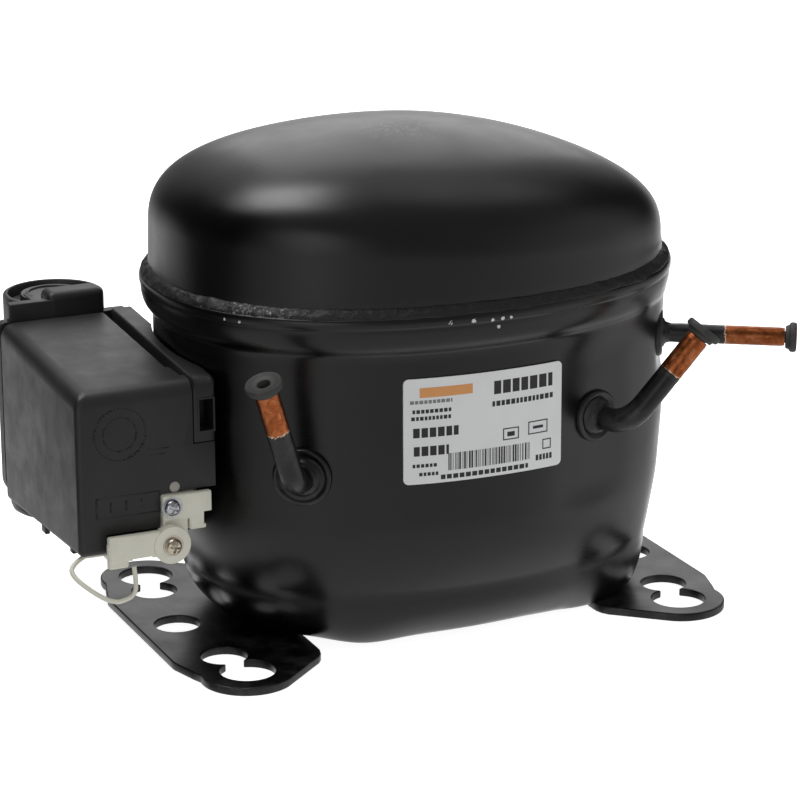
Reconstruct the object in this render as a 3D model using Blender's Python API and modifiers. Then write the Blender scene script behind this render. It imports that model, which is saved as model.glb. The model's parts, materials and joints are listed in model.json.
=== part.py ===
"""Hermetic reciprocating compressor: welded steel shell, terminal box, tube stubs and the sprung pump inside.

Units are metres, +Z is up and +X runs along the shell's long axis, away from the terminal box.
Everything is placed from the centre of the mounting-hole pattern at the underside of the base plates;
the frame empty then shifts the whole object so that its footprint is centred on the origin.
"""
import math

import bmesh
import bpy
from mathutils import Matrix, Vector

MM = 0.001
GAP = 0.3 * MM                      # running and assembly clearance between neighbouring solids

# ---- base plates -------------------------------------------------------------------------------
PLATE_T = 3.0 * MM
SMALL_HOLE = (85.0 * MM, 35.0 * MM, 8.0 * MM)        # 170 x 70 pattern: x, y, radius
LARGE_HOLE = (82.55 * MM, 50.8 * MM, 9.5 * MM)       # 165.1 x 101.6 pattern: x, y, radius
MIDDLE_HOLE = (89.0 * MM, 0.0, 8.0 * MM)
PLATE_INNER_X = 53.0 * MM
PLATE_OUTER_X = 103.0 * MM
PLATE_NOSE_R = 16.3 * MM

# ---- shell -------------------------------------------------------------------------------------
SHELL_X, SHELL_Y = -1.0 * MM, 0.5 * MM               # shell centre, from the hole pattern's centre
SEAM_A, SEAM_B = 91.0 * MM, 72.3 * MM                # half length and half width of the dome's skirt
OUTLINE_POWER = 2.2
SHEET_T = 2.9 * MM
SEAM_Z = 129.0 * MM
SKIRT_Z = 122.0 * MM
BODY_INSET = 1.2 * MM
CREASE_Z = 112.0 * MM
FLARE_Z = 120.0 * MM
LIP_Z = 125.0 * MM
LIP_OUT = 3.3 * MM
BOWL_TAPER_Z = 50.0 * MM
BOWL_TAPER = 8.0 * MM
BOWL_R = 20.6 * MM
BOWL_FULL_END = 0.6
BOWL_Z = PLATE_T + GAP
DOME_WALL_Z = 137.7 * MM
DOME_RISE = 39.0 * MM                                 # from the top of the straight wall to the crown
DOME_CURVE = (1.68, 2.25)                             # exponents of the rounded profile above the wall
DOME_DRAFT = 0.4 * MM
DOME_POWER = 2.5
DOME_TILT = (-0.067, -0.032)                          # the dome is higher over the box end and the front
SHELL_SEGMENTS = 40
BEAD_R = 1.75 * MM

# ---- tube stubs: wall point, wall normal, stand-off, direction after the bend, length, radius ----
STUBS = {
    "process": dict(wall=(-63.7, -54.9, 69.7), normal=(-0.55, -0.835, 0.0), stand=10.5,
                    along=(-0.32, -0.17, 0.93), length=38.8, radius=4.0, collar=10.0, sleeve=17.0, cap=6.4),
    "suction": dict(wall=(42.2, -63.9, 79.9), normal=(0.32, -0.947, 0.0), stand=13.9,
                    along=(0.63, -0.12, 0.767), length=37.8, radius=4.0, collar=9.0, sleeve=16.5, cap=6.4),
    "discharge": dict(wall=(79.6, -35.6, 98.0), normal=(0.866, -0.5, 0.0), stand=0.0,
                      along=(0.866, -0.5, -0.015), length=45.0, radius=3.3, collar=8.4, sleeve=22.5, cap=5.3,
                      pad_low=82.0),
}
PAD_DEPTH = 1.3 * MM                                  # how far each tube pad is pressed into the wall
PAD_TOP_Z = 106.0 * MM
PAD_LOW_Z = 44.0 * MM
SLEEVE_WALL = 0.9 * MM
CAP_T = 4.2 * MM

# ---- terminal box --------------------------------------------------------------------------------
BOX_OUTER_X = -135.0 * MM
BOX_SPLIT_X = -94.3 * MM
BOX_FRONT_Y, BOX_REAR_Y = -35.0 * MM, 47.2 * MM
BOX_LOW_Z, BOX_LOW_REAR_Z = 45.2 * MM, 41.0 * MM
BOX_TOP_FRONT_Z, BOX_TOP_REAR_Z = 101.6 * MM, 105.8 * MM
APRON_LOW_Z, APRON_TOP_Z = 64.2 * MM, 80.0 * MM      # the cover's front laps over the base between these
BOX_WALL = 2.0 * MM
BASE_INNER_X = -86.0 * MM
CAN_X, CAN_Y, CAN_R = -106.3 * MM, 73.8 * MM, 18.0 * MM
CAN_LOW_Z, CAN_TOP_Z = 26.0 * MM, 107.3 * MM
TERMINAL_Y, TERMINAL_Z, TERMINAL_R = 5.0 * MM, 76.0 * MM, 15.0 * MM
TERMINAL_PAD_X = -90.0 * MM
PIN_R = 1.6 * MM
PIN_PLACES = ((-8.0 * MM, -5.0 * MM), (8.0 * MM, -5.0 * MM), (0.0, 9.0 * MM))

# ---- cord clamp ----------------------------------------------------------------------------------
CLAMP_FRONT_Y = -37.2 * MM
BAR_FRONT_Y = -41.4 * MM
CLAMP_PIVOT = (-104.6 * MM, 47.6 * MM)                # x, z of the screw that the clamp bar swings on
CLAMP_SCREW = (-103.2 * MM, 59.6 * MM)
SCREW_R = 1.6 * MM
TETHER_R = 0.85 * MM
TETHER_ROUTE = (                                      # x, y, z of the nylon tether, bar to foot
    (-117.6, -38.6, 41.4), (-117.4, -38.8, 38.6), (-117.3, -39.0, 35.6), (-117.6, -39.2, 33.0),
    (-118.9, -39.2, 31.2), (-121.2, -39.0, 30.2), (-124.0, -38.6, 29.8), (-127.2, -38.0, 30.9),
    (-130.6, -37.2, 33.1), (-134.0, -36.2, 35.9), (-136.7, -34.9, 38.7), (-137.6, -33.4, 40.9),
    (-136.4, -31.8, 42.2), (-134.2, -30.8, 42.6), (-131.5, -30.2, 42.7))

# ---- pump unit -----------------------------------------------------------------------------------
STATOR_HALF, STATOR_CHAMFER = 48.0 * MM, 10.0 * MM
STATOR_LOW_Z, STATOR_TOP_Z = 40.0 * MM, 76.0 * MM
STATOR_BORE_R = 28.0 * MM
WINDING_R, WINDING_BORE_R = 42.0 * MM, 30.0 * MM
WINDING_H = 13.5 * MM
ROTOR_R = 27.4 * MM
SHAFT_R = 8.0 * MM
SHAFT_LOW_Z = 30.6 * MM
BEARING_R, BEARING_LOW_Z, BEARING_TOP_Z = 15.0 * MM, 79.0 * MM, 108.3 * MM
CASE_HALF, CASE_LOW_Z, CASE_TOP_Z = 44.0 * MM, 92.0 * MM, 100.0 * MM
BOLT_AT = 40.0 * MM
BOLT_R = 2.5 * MM
WEB_R, WEB_LOW_Z, WEB_TOP_Z = 15.0 * MM, 108.6 * MM, 115.0 * MM
COUNTERWEIGHT_R = 22.5 * MM
CYLINDER_Z = 123.0 * MM
CRANK_R = 6.0 * MM
ROD_L = 40.0 * MM
PISTON_R, PISTON_L, PISTON_PIN_BACK = 10.9 * MM, 18.0 * MM, 8.0 * MM
BORE_R = 11.2 * MM
BLOCK_X = (24.5 * MM, 56.2 * MM)
BLOCK_HALF_Y = 17.0 * MM
BLOCK_Z = (99.0 * MM, 140.0 * MM)
VALVE_PLATE_X = (57.0 * MM, 60.0 * MM)
HEAD_X = (60.3 * MM, 73.0 * MM)
HEAD_LOW_Z = 106.0 * MM
REED_T, REED_L, REED_HALF_W = 0.3 * MM, 18.0 * MM, 3.2 * MM
SUCTION_REED_Z, DISCHARGE_REED_Z = 120.0 * MM, 127.5 * MM
SPRING_AT = (40.0 * MM, 30.0 * MM)
SPRING_COIL_R, SPRING_WIRE_R, SPRING_TURNS = 5.9 * MM, 0.9 * MM, 4
SPRING_LOW_Z, SPRING_TOP_Z = 8.6 * MM, 39.7 * MM
PICKUP_LOW_Z = 13.0 * MM
PIPE_R = 2.0 * MM

# ---- rating label --------------------------------------------------------------------------------
LABEL_X = (-32.4 * MM, 25.4 * MM)
LABEL_Z = (66.6 * MM, 103.2 * MM)
LABEL_OUT, LABEL_T = 0.75 * MM, 0.25 * MM


# ================================ scene helpers ====================================================

def clear_scene():
    for old in list(bpy.data.objects):
        bpy.data.objects.remove(old, do_unlink=True)


def new_collection(name):
    group = bpy.data.collections.new(name)
    bpy.context.scene.collection.children.link(group)
    return group


clear_scene()
PARTS = new_collection("hermetic_compressor")
CUTTERS = new_collection("cutters")
FRAME = bpy.data.objects.new("frame", None)
PARTS.objects.link(FRAME)


def material(name, colour, roughness, metallic=0.0):
    found = bpy.data.materials.get(name)
    if found:
        return found
    made = bpy.data.materials.new(name)
    made.use_nodes = True
    shader = made.node_tree.nodes["Principled BSDF"]
    shader.inputs["Base Color"].default_value = (*colour, 1.0)
    shader.inputs["Roughness"].default_value = roughness
    shader.inputs["Metallic"].default_value = metallic
    return made


BLACK_PAINT = material("black_paint", (0.012, 0.012, 0.013), 0.38)
BLACK_PLASTIC = material("black_plastic", (0.020, 0.020, 0.021), 0.5)
WHITE_NYLON = material("white_nylon", (0.80, 0.79, 0.70), 0.45)
COPPER = material("copper", (0.78, 0.33, 0.15), 0.3, 1.0)
RUBBER = material("rubber", (0.03, 0.03, 0.03), 0.8)
ZINC = material("zinc_steel", (0.62, 0.62, 0.64), 0.3, 1.0)
LABEL_FOIL = material("label_foil", (0.70, 0.71, 0.72), 0.35)
STEEL = material("machined_steel", (0.50, 0.50, 0.52), 0.35, 1.0)
IRON = material("cast_iron", (0.22, 0.22, 0.23), 0.6, 0.8)
ALUMINIUM = material("aluminium", (0.70, 0.71, 0.73), 0.4, 1.0)
LAMINATION = material("lamination_steel", (0.32, 0.33, 0.36), 0.5, 0.9)
ENAMEL_WIRE = material("enamelled_winding", (0.50, 0.20, 0.07), 0.4, 0.3)
MUFFLER_PLASTIC = material("muffler_plastic", (0.75, 0.70, 0.58), 0.5)


def pivot(name, place, parent):
    """An empty on a joint's axis; the pieces that move on it are parented to it."""
    empty = bpy.data.objects.new(name, None)
    PARTS.objects.link(empty)
    empty.parent = parent
    empty.location = Vector(place) - base_of(parent)
    return empty


def base_of(empty):
    """Where an empty stands, counted from the frame."""
    place = Vector((0.0, 0.0, 0.0))
    while empty is not None and empty is not FRAME:
        place += empty.location
        empty = empty.parent
    return place


def put(obj, look, parent):
    """Link a piece into the parts collection under its parent, with its material."""
    PARTS.objects.link(obj)
    obj.data.materials.append(look)
    obj.parent = parent
    obj.location = obj.location - base_of(parent)
    return obj


def mesh_object(name, bm, smooth=True):
    bmesh.ops.recalc_face_normals(bm, faces=bm.faces)
    mesh = bpy.data.meshes.new(name)
    bm.to_mesh(mesh)
    bm.free()
    if smooth:
        mesh.shade_smooth()
        mesh.set_sharp_from_angle(angle=math.radians(35.0))
    return bpy.data.objects.new(name, mesh)


def span_box(bm, low, high):
    """A box between two corners, added to a bmesh; returns its new vertices."""
    low, high = Vector(low), Vector(high)
    size = high - low
    place = Matrix.Translation((low + high) / 2.0) @ Matrix.Diagonal((*size, 1.0))
    return bmesh.ops.create_cube(bm, size=1.0, matrix=place)["verts"]


def box(name, low, high, bevel=0.0, segments=2):
    bm = bmesh.new()
    span_box(bm, low, high)
    if bevel:
        bmesh.ops.bevel(bm, geom=bm.edges[:], offset=bevel, segments=segments, affect="EDGES", profile=0.5)
    return mesh_object(name, bm)


def facing(direction):
    """Rotation that turns +Z to a direction."""
    return Vector(direction).to_track_quat("Z", "Y").to_matrix().to_4x4()


def cylinder(name, radius, start, axis, depth, segments=24, top_radius=None):
    """A cylinder or cone from a start point along an axis."""
    axis = Vector(axis).normalized()
    centre = Vector(start) + axis * depth / 2.0
    bm = bmesh.new()
    bmesh.ops.create_cone(bm, cap_ends=True, segments=segments, radius1=radius,
                          radius2=radius if top_radius is None else top_radius, depth=depth,
                          matrix=Matrix.Translation(centre) @ facing(axis))
    return mesh_object(name, bm)


def turned(name, profile, start, axis, steps=24):
    """A closed profile of (radius, height) points, top to bottom on its outer side, turned by a Screw."""
    bm = bmesh.new()
    corners = [bm.verts.new((radius, 0.0, height)) for radius, height in profile]
    for first, second in zip(corners, corners[1:] + corners[:1]):
        if first.co.x > 0.0 or second.co.x > 0.0:
            bm.edges.new((first, second))
    mesh = bpy.data.meshes.new(name)
    bm.to_mesh(mesh)
    bm.free()
    obj = bpy.data.objects.new(name, mesh)
    obj.matrix_world = Matrix.Translation(Vector(start)) @ facing(axis)
    screw = obj.modifiers.new("turn", "SCREW")
    screw.steps = steps
    screw.render_steps = steps
    screw.use_merge_vertices = True
    screw.merge_threshold = 0.00001
    screw.use_smooth_shade = True
    return obj


def cutter(obj):
    CUTTERS.objects.link(obj)
    obj.hide_render = True
    obj.display_type = "WIRE"
    obj.parent = FRAME
    return obj


def combine(obj, tool, operation="DIFFERENCE"):
    """A Boolean with a tool from the cutters collection."""
    cut = obj.modifiers.new(operation.lower(), "BOOLEAN")
    cut.object = cutter(tool)
    cut.operation = operation
    cut.solver = "EXACT"
    return obj


def smooth_points(route, count):
    """Points along a Catmull-Rom curve through the route."""
    ends = [2 * route[0] - route[1]] + list(route) + [2 * route[-1] - route[-2]]
    spans = len(route) - 1
    points = []
    for step in range(count + 1):
        at = step / count * spans
        span = min(int(at), spans - 1)
        t = at - span
        a, b, c, d = ends[span:span + 4]
        points.append(0.5 * (2 * b + (c - a) * t + (2 * a - 5 * b + 4 * c - d) * t * t
                             + (3 * b - a - 3 * c + d) * t ** 3))
    return points


def tube(name, points, radius, sides=2):
    """A round bar along points, as a POLY curve with filled caps."""
    curve = bpy.data.curves.new(name, "CURVE")
    curve.dimensions = "3D"
    curve.bevel_depth = radius
    curve.bevel_resolution = sides
    curve.use_fill_caps = True
    line = curve.splines.new("POLY")
    line.points.add(len(points) - 1)
    for point, place in zip(line.points, points):
        point.co = (*place, 1.0)
    return bpy.data.objects.new(name, curve)


def tube_mesh(name, points, radius, sides=3):
    """The same bar as a welded mesh, for pieces that a Boolean works on."""
    guide = tube(name + "_guide", points, radius, sides)
    bpy.context.scene.collection.objects.link(guide)
    graph = bpy.context.evaluated_depsgraph_get()
    mesh = bpy.data.meshes.new_from_object(guide.evaluated_get(graph))
    bm = bmesh.new()
    bm.from_mesh(mesh)
    bmesh.ops.remove_doubles(bm, verts=bm.verts, dist=0.00001)
    bpy.data.objects.remove(guide, do_unlink=True)
    bpy.data.meshes.remove(mesh)
    return mesh_object(name, bm)


# ================================ shell shape ======================================================

def outline_point(angle, half_x, half_y, power):
    """A point of the shell's rounded outline, about the shell's centre."""
    c, s = math.cos(angle), math.sin(angle)
    reach = (abs(c) ** power + abs(s) ** power) ** (-1.0 / power)
    return SHELL_X + half_x * reach * c, SHELL_Y + half_y * reach * s


def ring_points(half_x, half_y, power, z, tilt=0.0):
    ring = []
    for step in range(SHELL_SEGMENTS):
        x, y = outline_point(2 * math.pi * step / SHELL_SEGMENTS, half_x, half_y, power)
        lift = tilt * (DOME_TILT[0] * x + DOME_TILT[1] * y)
        ring.append(Vector((x, y, z + lift)))
    return ring


def skin(bm, rings, close=False):
    """Quads between rings of equal length; returns the rings' vertices."""
    rows = [[bm.verts.new(place) for place in ring] for ring in rings]
    pairs = list(zip(rows, rows[1:])) + ([(rows[-1], rows[0])] if close else [])
    for low, high in pairs:
        for i in range(len(low)):
            j = (i + 1) % len(low)
            bm.faces.new((low[i], low[j], high[j], high[i]))
    return rows


def press_pads(ring):
    """Press the flat tube pads and the flat terminal seat into one ring of the lower shell."""
    pressed = []
    for place in ring:
        place = place.copy()
        if PAD_LOW_Z < place.z < PAD_TOP_Z:
            for stub in STUBS.values():
                if place.z < stub.get("pad_low", 0.0) * MM:
                    continue
                normal = Vector(stub["normal"]).normalized()
                proud = (place - Vector(stub["wall"]) * MM).dot(normal) + PAD_DEPTH
                if proud > 0.0:
                    place -= normal * proud
            place.x = max(place.x, TERMINAL_PAD_X)
        pressed.append(place)
    return pressed


def bowl_profile():
    """(inset from the seam outline, height) from the flat bottom up to the lip."""
    rows = []
    for step in range(5, -1, -1):
        angle = math.pi / 2 * step / 5
        rows.append((BODY_INSET + BOWL_TAPER + BOWL_R * (1 - math.cos(angle)),
                     BOWL_Z + BOWL_R * (1 - math.sin(angle))))
    taper_low = BOWL_Z + BOWL_R
    for step in (1, 2, 3):
        part = 1 - step / 3
        rows.append((BODY_INSET + BOWL_TAPER * part ** 1.6, BOWL_TAPER_Z - (BOWL_TAPER_Z - taper_low) * part))
    rows += [(BODY_INSET, z * MM) for z in (60.0, 70.0, 80.0, 90.0, 100.0, 105.5)]
    rows += [(BODY_INSET, CREASE_Z), (-LIP_OUT, FLARE_Z), (-LIP_OUT, LIP_Z)]
    return rows


def dome_profile():
    """(half length, half width, outline power, height, tilt share) from the skirt up to the crown."""
    rows = [(SEAM_A, SEAM_B, OUTLINE_POWER, SKIRT_Z, 0.0), (SEAM_A, SEAM_B, OUTLINE_POWER, SEAM_Z, 0.0)]
    rows.append((SEAM_A - DOME_DRAFT, SEAM_B - DOME_DRAFT, OUTLINE_POWER, DOME_WALL_Z, 1.0))
    half_x, half_y = SEAM_A - DOME_DRAFT, SEAM_B - DOME_DRAFT
    inner, outer = DOME_CURVE
    for share in (0.985, 0.95, 0.9, 0.83, 0.74, 0.62, 0.48, 0.32, 0.16):
        if share > 0.9:
            power = OUTLINE_POWER + (DOME_POWER - OUTLINE_POWER) * (1 - share) / 0.1
        else:
            power = 2.0 + (DOME_POWER - 2.0) * share / 0.9
        height = DOME_WALL_Z + DOME_RISE * (1 - share ** inner) ** (1 / outer)
        rows.append((half_x * share, half_y * share, power, height, 1.0))
    return rows, DOME_WALL_Z + DOME_RISE


def bowl_ring(inset, z):
    """One ring of the lower shell; its taper is gentler at the end away from the terminal box."""
    tapered = ring_points(SEAM_A - inset, SEAM_B - inset, OUTLINE_POWER, z)
    if inset <= BODY_INSET:
        return tapered
    upright = ring_points(SEAM_A - BODY_INSET, SEAM_B - BODY_INSET, OUTLINE_POWER, z)
    ring = []
    for place, outer in zip(tapered, upright):
        share = min(max((outer.x - 45 * MM) / (30 * MM), 0.0), 1.0)
        ring.append(place.lerp(outer, BOWL_FULL_END * share * share * (3 - 2 * share)))
    return ring


def make_lower_shell():
    bm = bmesh.new()
    rings = [press_pads(bowl_ring(inset, z)) for inset, z in bowl_profile()]
    rows = skin(bm, rings)
    bm.faces.new(list(reversed(rows[0])))
    shell = mesh_object("lower_shell", bm)
    sheet = shell.modifiers.new("sheet", "SOLIDIFY")
    sheet.thickness = SHEET_T
    sheet.offset = -1.0
    sheet.use_even_offset = True
    return put(shell, BLACK_PAINT, FRAME)


def make_upper_shell():
    bm = bmesh.new()
    profile, apex = dome_profile()
    rows = skin(bm, [ring_points(*row) for row in profile])
    crown = bm.faces.new(rows[-1])
    top = bmesh.ops.poke(bm, faces=[crown])["verts"][0]
    top.co.z = apex + DOME_TILT[0] * top.co.x + DOME_TILT[1] * top.co.y
    shell = mesh_object("upper_shell", bm)
    sheet = shell.modifiers.new("sheet", "SOLIDIFY")
    sheet.thickness = SHEET_T
    sheet.offset = -1.0
    sheet.use_even_offset = True
    return put(shell, BLACK_PAINT, FRAME)


def make_weld_bead():
    """The ring of weld that joins the dome's skirt to the lower shell's lip."""
    sides = 6
    rings = []
    for step in range(sides):
        angle = 2 * math.pi * step / sides
        out = GAP + BEAD_R * (1 + math.cos(angle))
        height = LIP_Z + GAP + BEAD_R * (1 + math.sin(angle))
        rings.append(ring_points(SEAM_A + out, SEAM_B + out, OUTLINE_POWER, height))
    bm = bmesh.new()
    skin(bm, rings, close=True)
    return put(mesh_object("shell_weld_bead", bm), BLACK_PAINT, FRAME)


# ================================ base plates =====================================================

def arc(centre, radius, start, end, steps):
    return [Vector((centre[0] + radius * math.cos(start + (end - start) * i / steps),
                    centre[1] + radius * math.sin(start + (end - start) * i / steps)))
            for i in range(steps + 1)]


def circle(centre, radius, steps):
    return arc(centre, radius, 0.0, 2 * math.pi * (1 - 1 / steps), steps - 1)


def keyhole(side, steps=13):
    """The outline where the small and the large hole run into each other."""
    small = Vector((SMALL_HOLE[0], SMALL_HOLE[1] * side))
    large = Vector((LARGE_HOLE[0], LARGE_HOLE[1] * side))
    along = large - small
    distance = along.length
    heading = math.atan2(along.y, along.x)
    reach = (distance ** 2 + SMALL_HOLE[2] ** 2 - LARGE_HOLE[2] ** 2) / (2 * distance)
    small_open = math.acos(reach / SMALL_HOLE[2])
    large_open = math.acos((distance - reach) / LARGE_HOLE[2])
    points = arc(small, SMALL_HOLE[2], heading + small_open, heading + 2 * math.pi - small_open, steps)
    back = heading + math.pi
    points += arc(large, LARGE_HOLE[2], back + large_open, back + 2 * math.pi - large_open, steps)
    return points


def plate_outline():
    """Half outline from the outer edge's middle to the inner edge, mirrored to a full one."""
    nose = (LARGE_HOLE[0], LARGE_HOLE[1])
    upper = [Vector((PLATE_OUTER_X, 0.0)), Vector((PLATE_OUTER_X, 33.0 * MM)),
             Vector((101.0 * MM, 40.0 * MM)), Vector((99.7 * MM, 45.5 * MM))]
    upper += arc(nose, PLATE_NOSE_R, math.radians(-8), math.radians(128), 10)
    upper += [Vector((56.5 * MM, 49.6 * MM)), Vector((54.0 * MM, 47.4 * MM)),
              Vector((PLATE_INNER_X, 44.0 * MM)), Vector((PLATE_INNER_X, 0.0))]
    lower = [Vector((p.x, -p.y)) for p in reversed(upper[1:-1])]
    return upper + lower


def make_base_plate(name, side):
    """One flat mounting plate, welded under an end of the shell."""
    curve = bpy.data.curves.new(name, "CURVE")
    curve.dimensions = "2D"
    curve.fill_mode = "BOTH"
    curve.extrude = PLATE_T / 2.0
    holes = [keyhole(1), keyhole(-1), circle(MIDDLE_HOLE, MIDDLE_HOLE[2], 16)]
    for number, points in enumerate([plate_outline()] + holes):
        ring = [(place.x * side, place.y) for place in points]
        area = sum(a[0] * b[1] - b[0] * a[1] for a, b in zip(ring, ring[1:] + ring[:1]))
        if (area > 0) != (number == 0):
            ring.reverse()
        line = curve.splines.new("POLY")
        line.points.add(len(ring) - 1)
        line.use_cyclic_u = True
        for point, (x, y) in zip(line.points, ring):
            point.co = (x, y, 0.0, 1.0)
    plate = bpy.data.objects.new(name, curve)
    plate.location = (0.0, 0.0, PLATE_T / 2.0)
    return put(plate, BLACK_PAINT, FRAME)


# ================================ tube stubs ======================================================

def stub_frame(stub):
    """Wall seat, wall normal, bend point and direction of the straight run."""
    normal = Vector(stub["normal"]).normalized()
    seat = Vector(stub["wall"]) * MM - normal * (PAD_DEPTH - GAP)
    bend = Vector(stub["wall"]) * MM + normal * stub["stand"] * MM
    return seat, normal, bend, Vector(stub["along"]).normalized()


def stub_path(stub, end):
    """From the wall, round the bend, to a distance along the straight run."""
    seat, normal, bend, along = stub_frame(stub)
    if stub["stand"] == 0.0:
        return [seat, bend + along * end]
    reach = min(stub["stand"] * MM * 0.8, 9.0 * MM)
    start, finish = bend - normal * reach, bend + along * reach
    curved = [start.lerp(bend, i / 6).lerp(bend.lerp(finish, i / 6), i / 6) for i in range(7)]
    return [seat] + curved + [bend + along * end]


def make_stub(name, stub):
    """Steel tube with its welding collar, copper sleeve and rubber plug."""
    seat, normal, bend, along = stub_frame(stub)
    radius = stub["radius"] * MM
    length = stub["length"] * MM
    sleeve_from = length - stub["sleeve"] * MM
    tube_piece = tube_mesh(name + "_stub", stub_path(stub, sleeve_from - GAP), radius)
    collar = cylinder(name + "_collar", stub["collar"] * MM, seat, normal, 1.4 * MM, 20)
    combine(tube_piece, collar, "UNION")
    put(tube_piece, BLACK_PAINT, FRAME)
    wall = SLEEVE_WALL
    sleeve = turned(name + "_copper_sleeve",
                    [(radius, stub["sleeve"] * MM), (radius, 0.0), (radius - wall, 0.0),
                     (radius - wall, stub["sleeve"] * MM)],
                    bend + along * sleeve_from, along, 20)
    put(sleeve, COPPER, FRAME)
    end = bend + along * length
    off = pivot(name + "_cap_axis", end, FRAME)
    cap_r = stub["cap"] * MM
    shank_r = radius - wall - GAP
    cap = turned(name + "_cap",
                 [(1.9 * MM, CAP_T), (cap_r - 0.6 * MM, CAP_T), (cap_r, CAP_T - 0.6 * MM), (cap_r, GAP + 0.4 * MM),
                  (cap_r - 0.4 * MM, GAP), (shank_r, GAP), (shank_r, -6.0 * MM), (0.0, -6.0 * MM),
                  (0.0, 0.8 * MM), (1.9 * MM, 0.8 * MM)],
                 end, along, 16)
    put(cap, RUBBER, off)


# ================================ label ===========================================================

def make_label():
    """A foil label that follows the front wall."""
    steps = 10
    rows = []
    for out in (LABEL_OUT - LABEL_T, LABEL_OUT):
        half_x, half_y = SEAM_A - BODY_INSET + out, SEAM_B - BODY_INSET + out
        line = []
        for i in range(steps + 1):
            x = LABEL_X[0] + (LABEL_X[1] - LABEL_X[0]) * i / steps
            part = (1 - abs((x - SHELL_X) / half_x) ** OUTLINE_POWER) ** (1 / OUTLINE_POWER)
            line.append((x, SHELL_Y - half_y * part))
        rows.append(line)
    bm = bmesh.new()
    grid = [[[bm.verts.new((x, y, z)) for x, y in line] for z in LABEL_Z] for line in rows]
    inner, outer = grid
    for i in range(steps):
        bm.faces.new((outer[0][i], outer[0][i + 1], outer[1][i + 1], outer[1][i]))
        bm.faces.new((inner[0][i + 1], inner[0][i], inner[1][i], inner[1][i + 1]))
        bm.faces.new((inner[0][i], inner[0][i + 1], outer[0][i + 1], outer[0][i]))
        bm.faces.new((outer[1][i], outer[1][i + 1], inner[1][i + 1], inner[1][i]))
    bm.faces.new((inner[0][0], outer[0][0], outer[1][0], inner[1][0]))
    bm.faces.new((outer[0][-1], inner[0][-1], inner[1][-1], outer[1][-1]))
    put(mesh_object("rating_label", bm), LABEL_FOIL, FRAME)


# ================================ terminal box ====================================================

def prism_x(name, profile, low_x, high_x, bevel=0.0):
    """A (y, z) profile extruded along X."""
    bm = bmesh.new()
    low = [bm.verts.new((low_x, y, z)) for y, z in profile]
    high = [bm.verts.new((high_x, y, z)) for y, z in profile]
    bm.faces.new(low)
    bm.faces.new(list(reversed(high)))
    for i in range(len(profile)):
        j = (i + 1) % len(profile)
        bm.faces.new((low[i], high[i], high[j], low[j]))
    bmesh.ops.recalc_face_normals(bm, faces=bm.faces)
    if bevel:
        near = [e for e in bm.edges if all(v.co.x < low_x + bevel / 10 for v in e.verts)]
        bmesh.ops.bevel(bm, geom=near, offset=bevel, segments=3, affect="EDGES", profile=0.5)
    return mesh_object(name, bm)


def box_profile(inset, front_low=BOX_LOW_Z):
    return [(BOX_FRONT_Y + inset, front_low + inset), (BOX_REAR_Y - inset, BOX_LOW_REAR_Z + inset),
            (BOX_REAR_Y - inset, BOX_TOP_REAR_Z - inset), (BOX_FRONT_Y + inset, BOX_TOP_FRONT_Z - inset)]


def make_terminal_cover():
    """The moulded cover, open towards the shell; it pulls off along -X."""
    off = pivot("cover_axis", (BOX_OUTER_X, BOX_FRONT_Y, BOX_LOW_Z), FRAME)
    cover = prism_x("terminal_cover", box_profile(0.0), BOX_OUTER_X, BOX_SPLIT_X, 2.5 * MM)
    combine(cover, prism_x("cover_cavity", box_profile(BOX_WALL), BOX_OUTER_X + BOX_WALL, BOX_SPLIT_X + 5 * MM))
    combine(cover, box("cover_apron", (BOX_SPLIT_X - 3 * MM, BOX_FRONT_Y, APRON_LOW_Z),
                       (BASE_INNER_X - 0.5 * MM, BOX_FRONT_Y + BOX_WALL, APRON_TOP_Z)), "UNION")
    combine(cover, box("cover_top_step", (-98.0 * MM, BOX_FRONT_Y + 6 * MM, BOX_TOP_FRONT_Z - 0.8 * MM),
                       (BOX_SPLIT_X + 5 * MM, BOX_REAR_Y + 5 * MM, BOX_TOP_REAR_Z + 5 * MM)))
    combine(cover, box("clamp_notch", (-106.8 * MM, BOX_FRONT_Y - 5 * MM, BOX_LOW_Z - 5 * MM),
                       (BOX_SPLIT_X + 5 * MM, BOX_FRONT_Y + 12 * MM, 64.2 * MM)))
    combine(cover, box("bar_notch", (-125.6 * MM, BOX_FRONT_Y - 5 * MM, BOX_LOW_Z - 5 * MM),
                       (BOX_SPLIT_X + 5 * MM, BOX_FRONT_Y + 12 * MM, 52.3 * MM)))
    put(cover, BLACK_PLASTIC, off)


def shell_prism(name, grow, low_z, high_z):
    """A straight column of the shell's body outline, grown by a clearance."""
    half_x, half_y = SEAM_A - BODY_INSET + grow, SEAM_B - BODY_INSET + grow
    bm = bmesh.new()
    rows = skin(bm, [ring_points(half_x, half_y, OUTLINE_POWER, low_z),
                     ring_points(half_x, half_y, OUTLINE_POWER, high_z)])
    bm.faces.new(list(reversed(rows[0])))
    bm.faces.new(rows[1])
    return mesh_object(name, bm)


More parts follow.
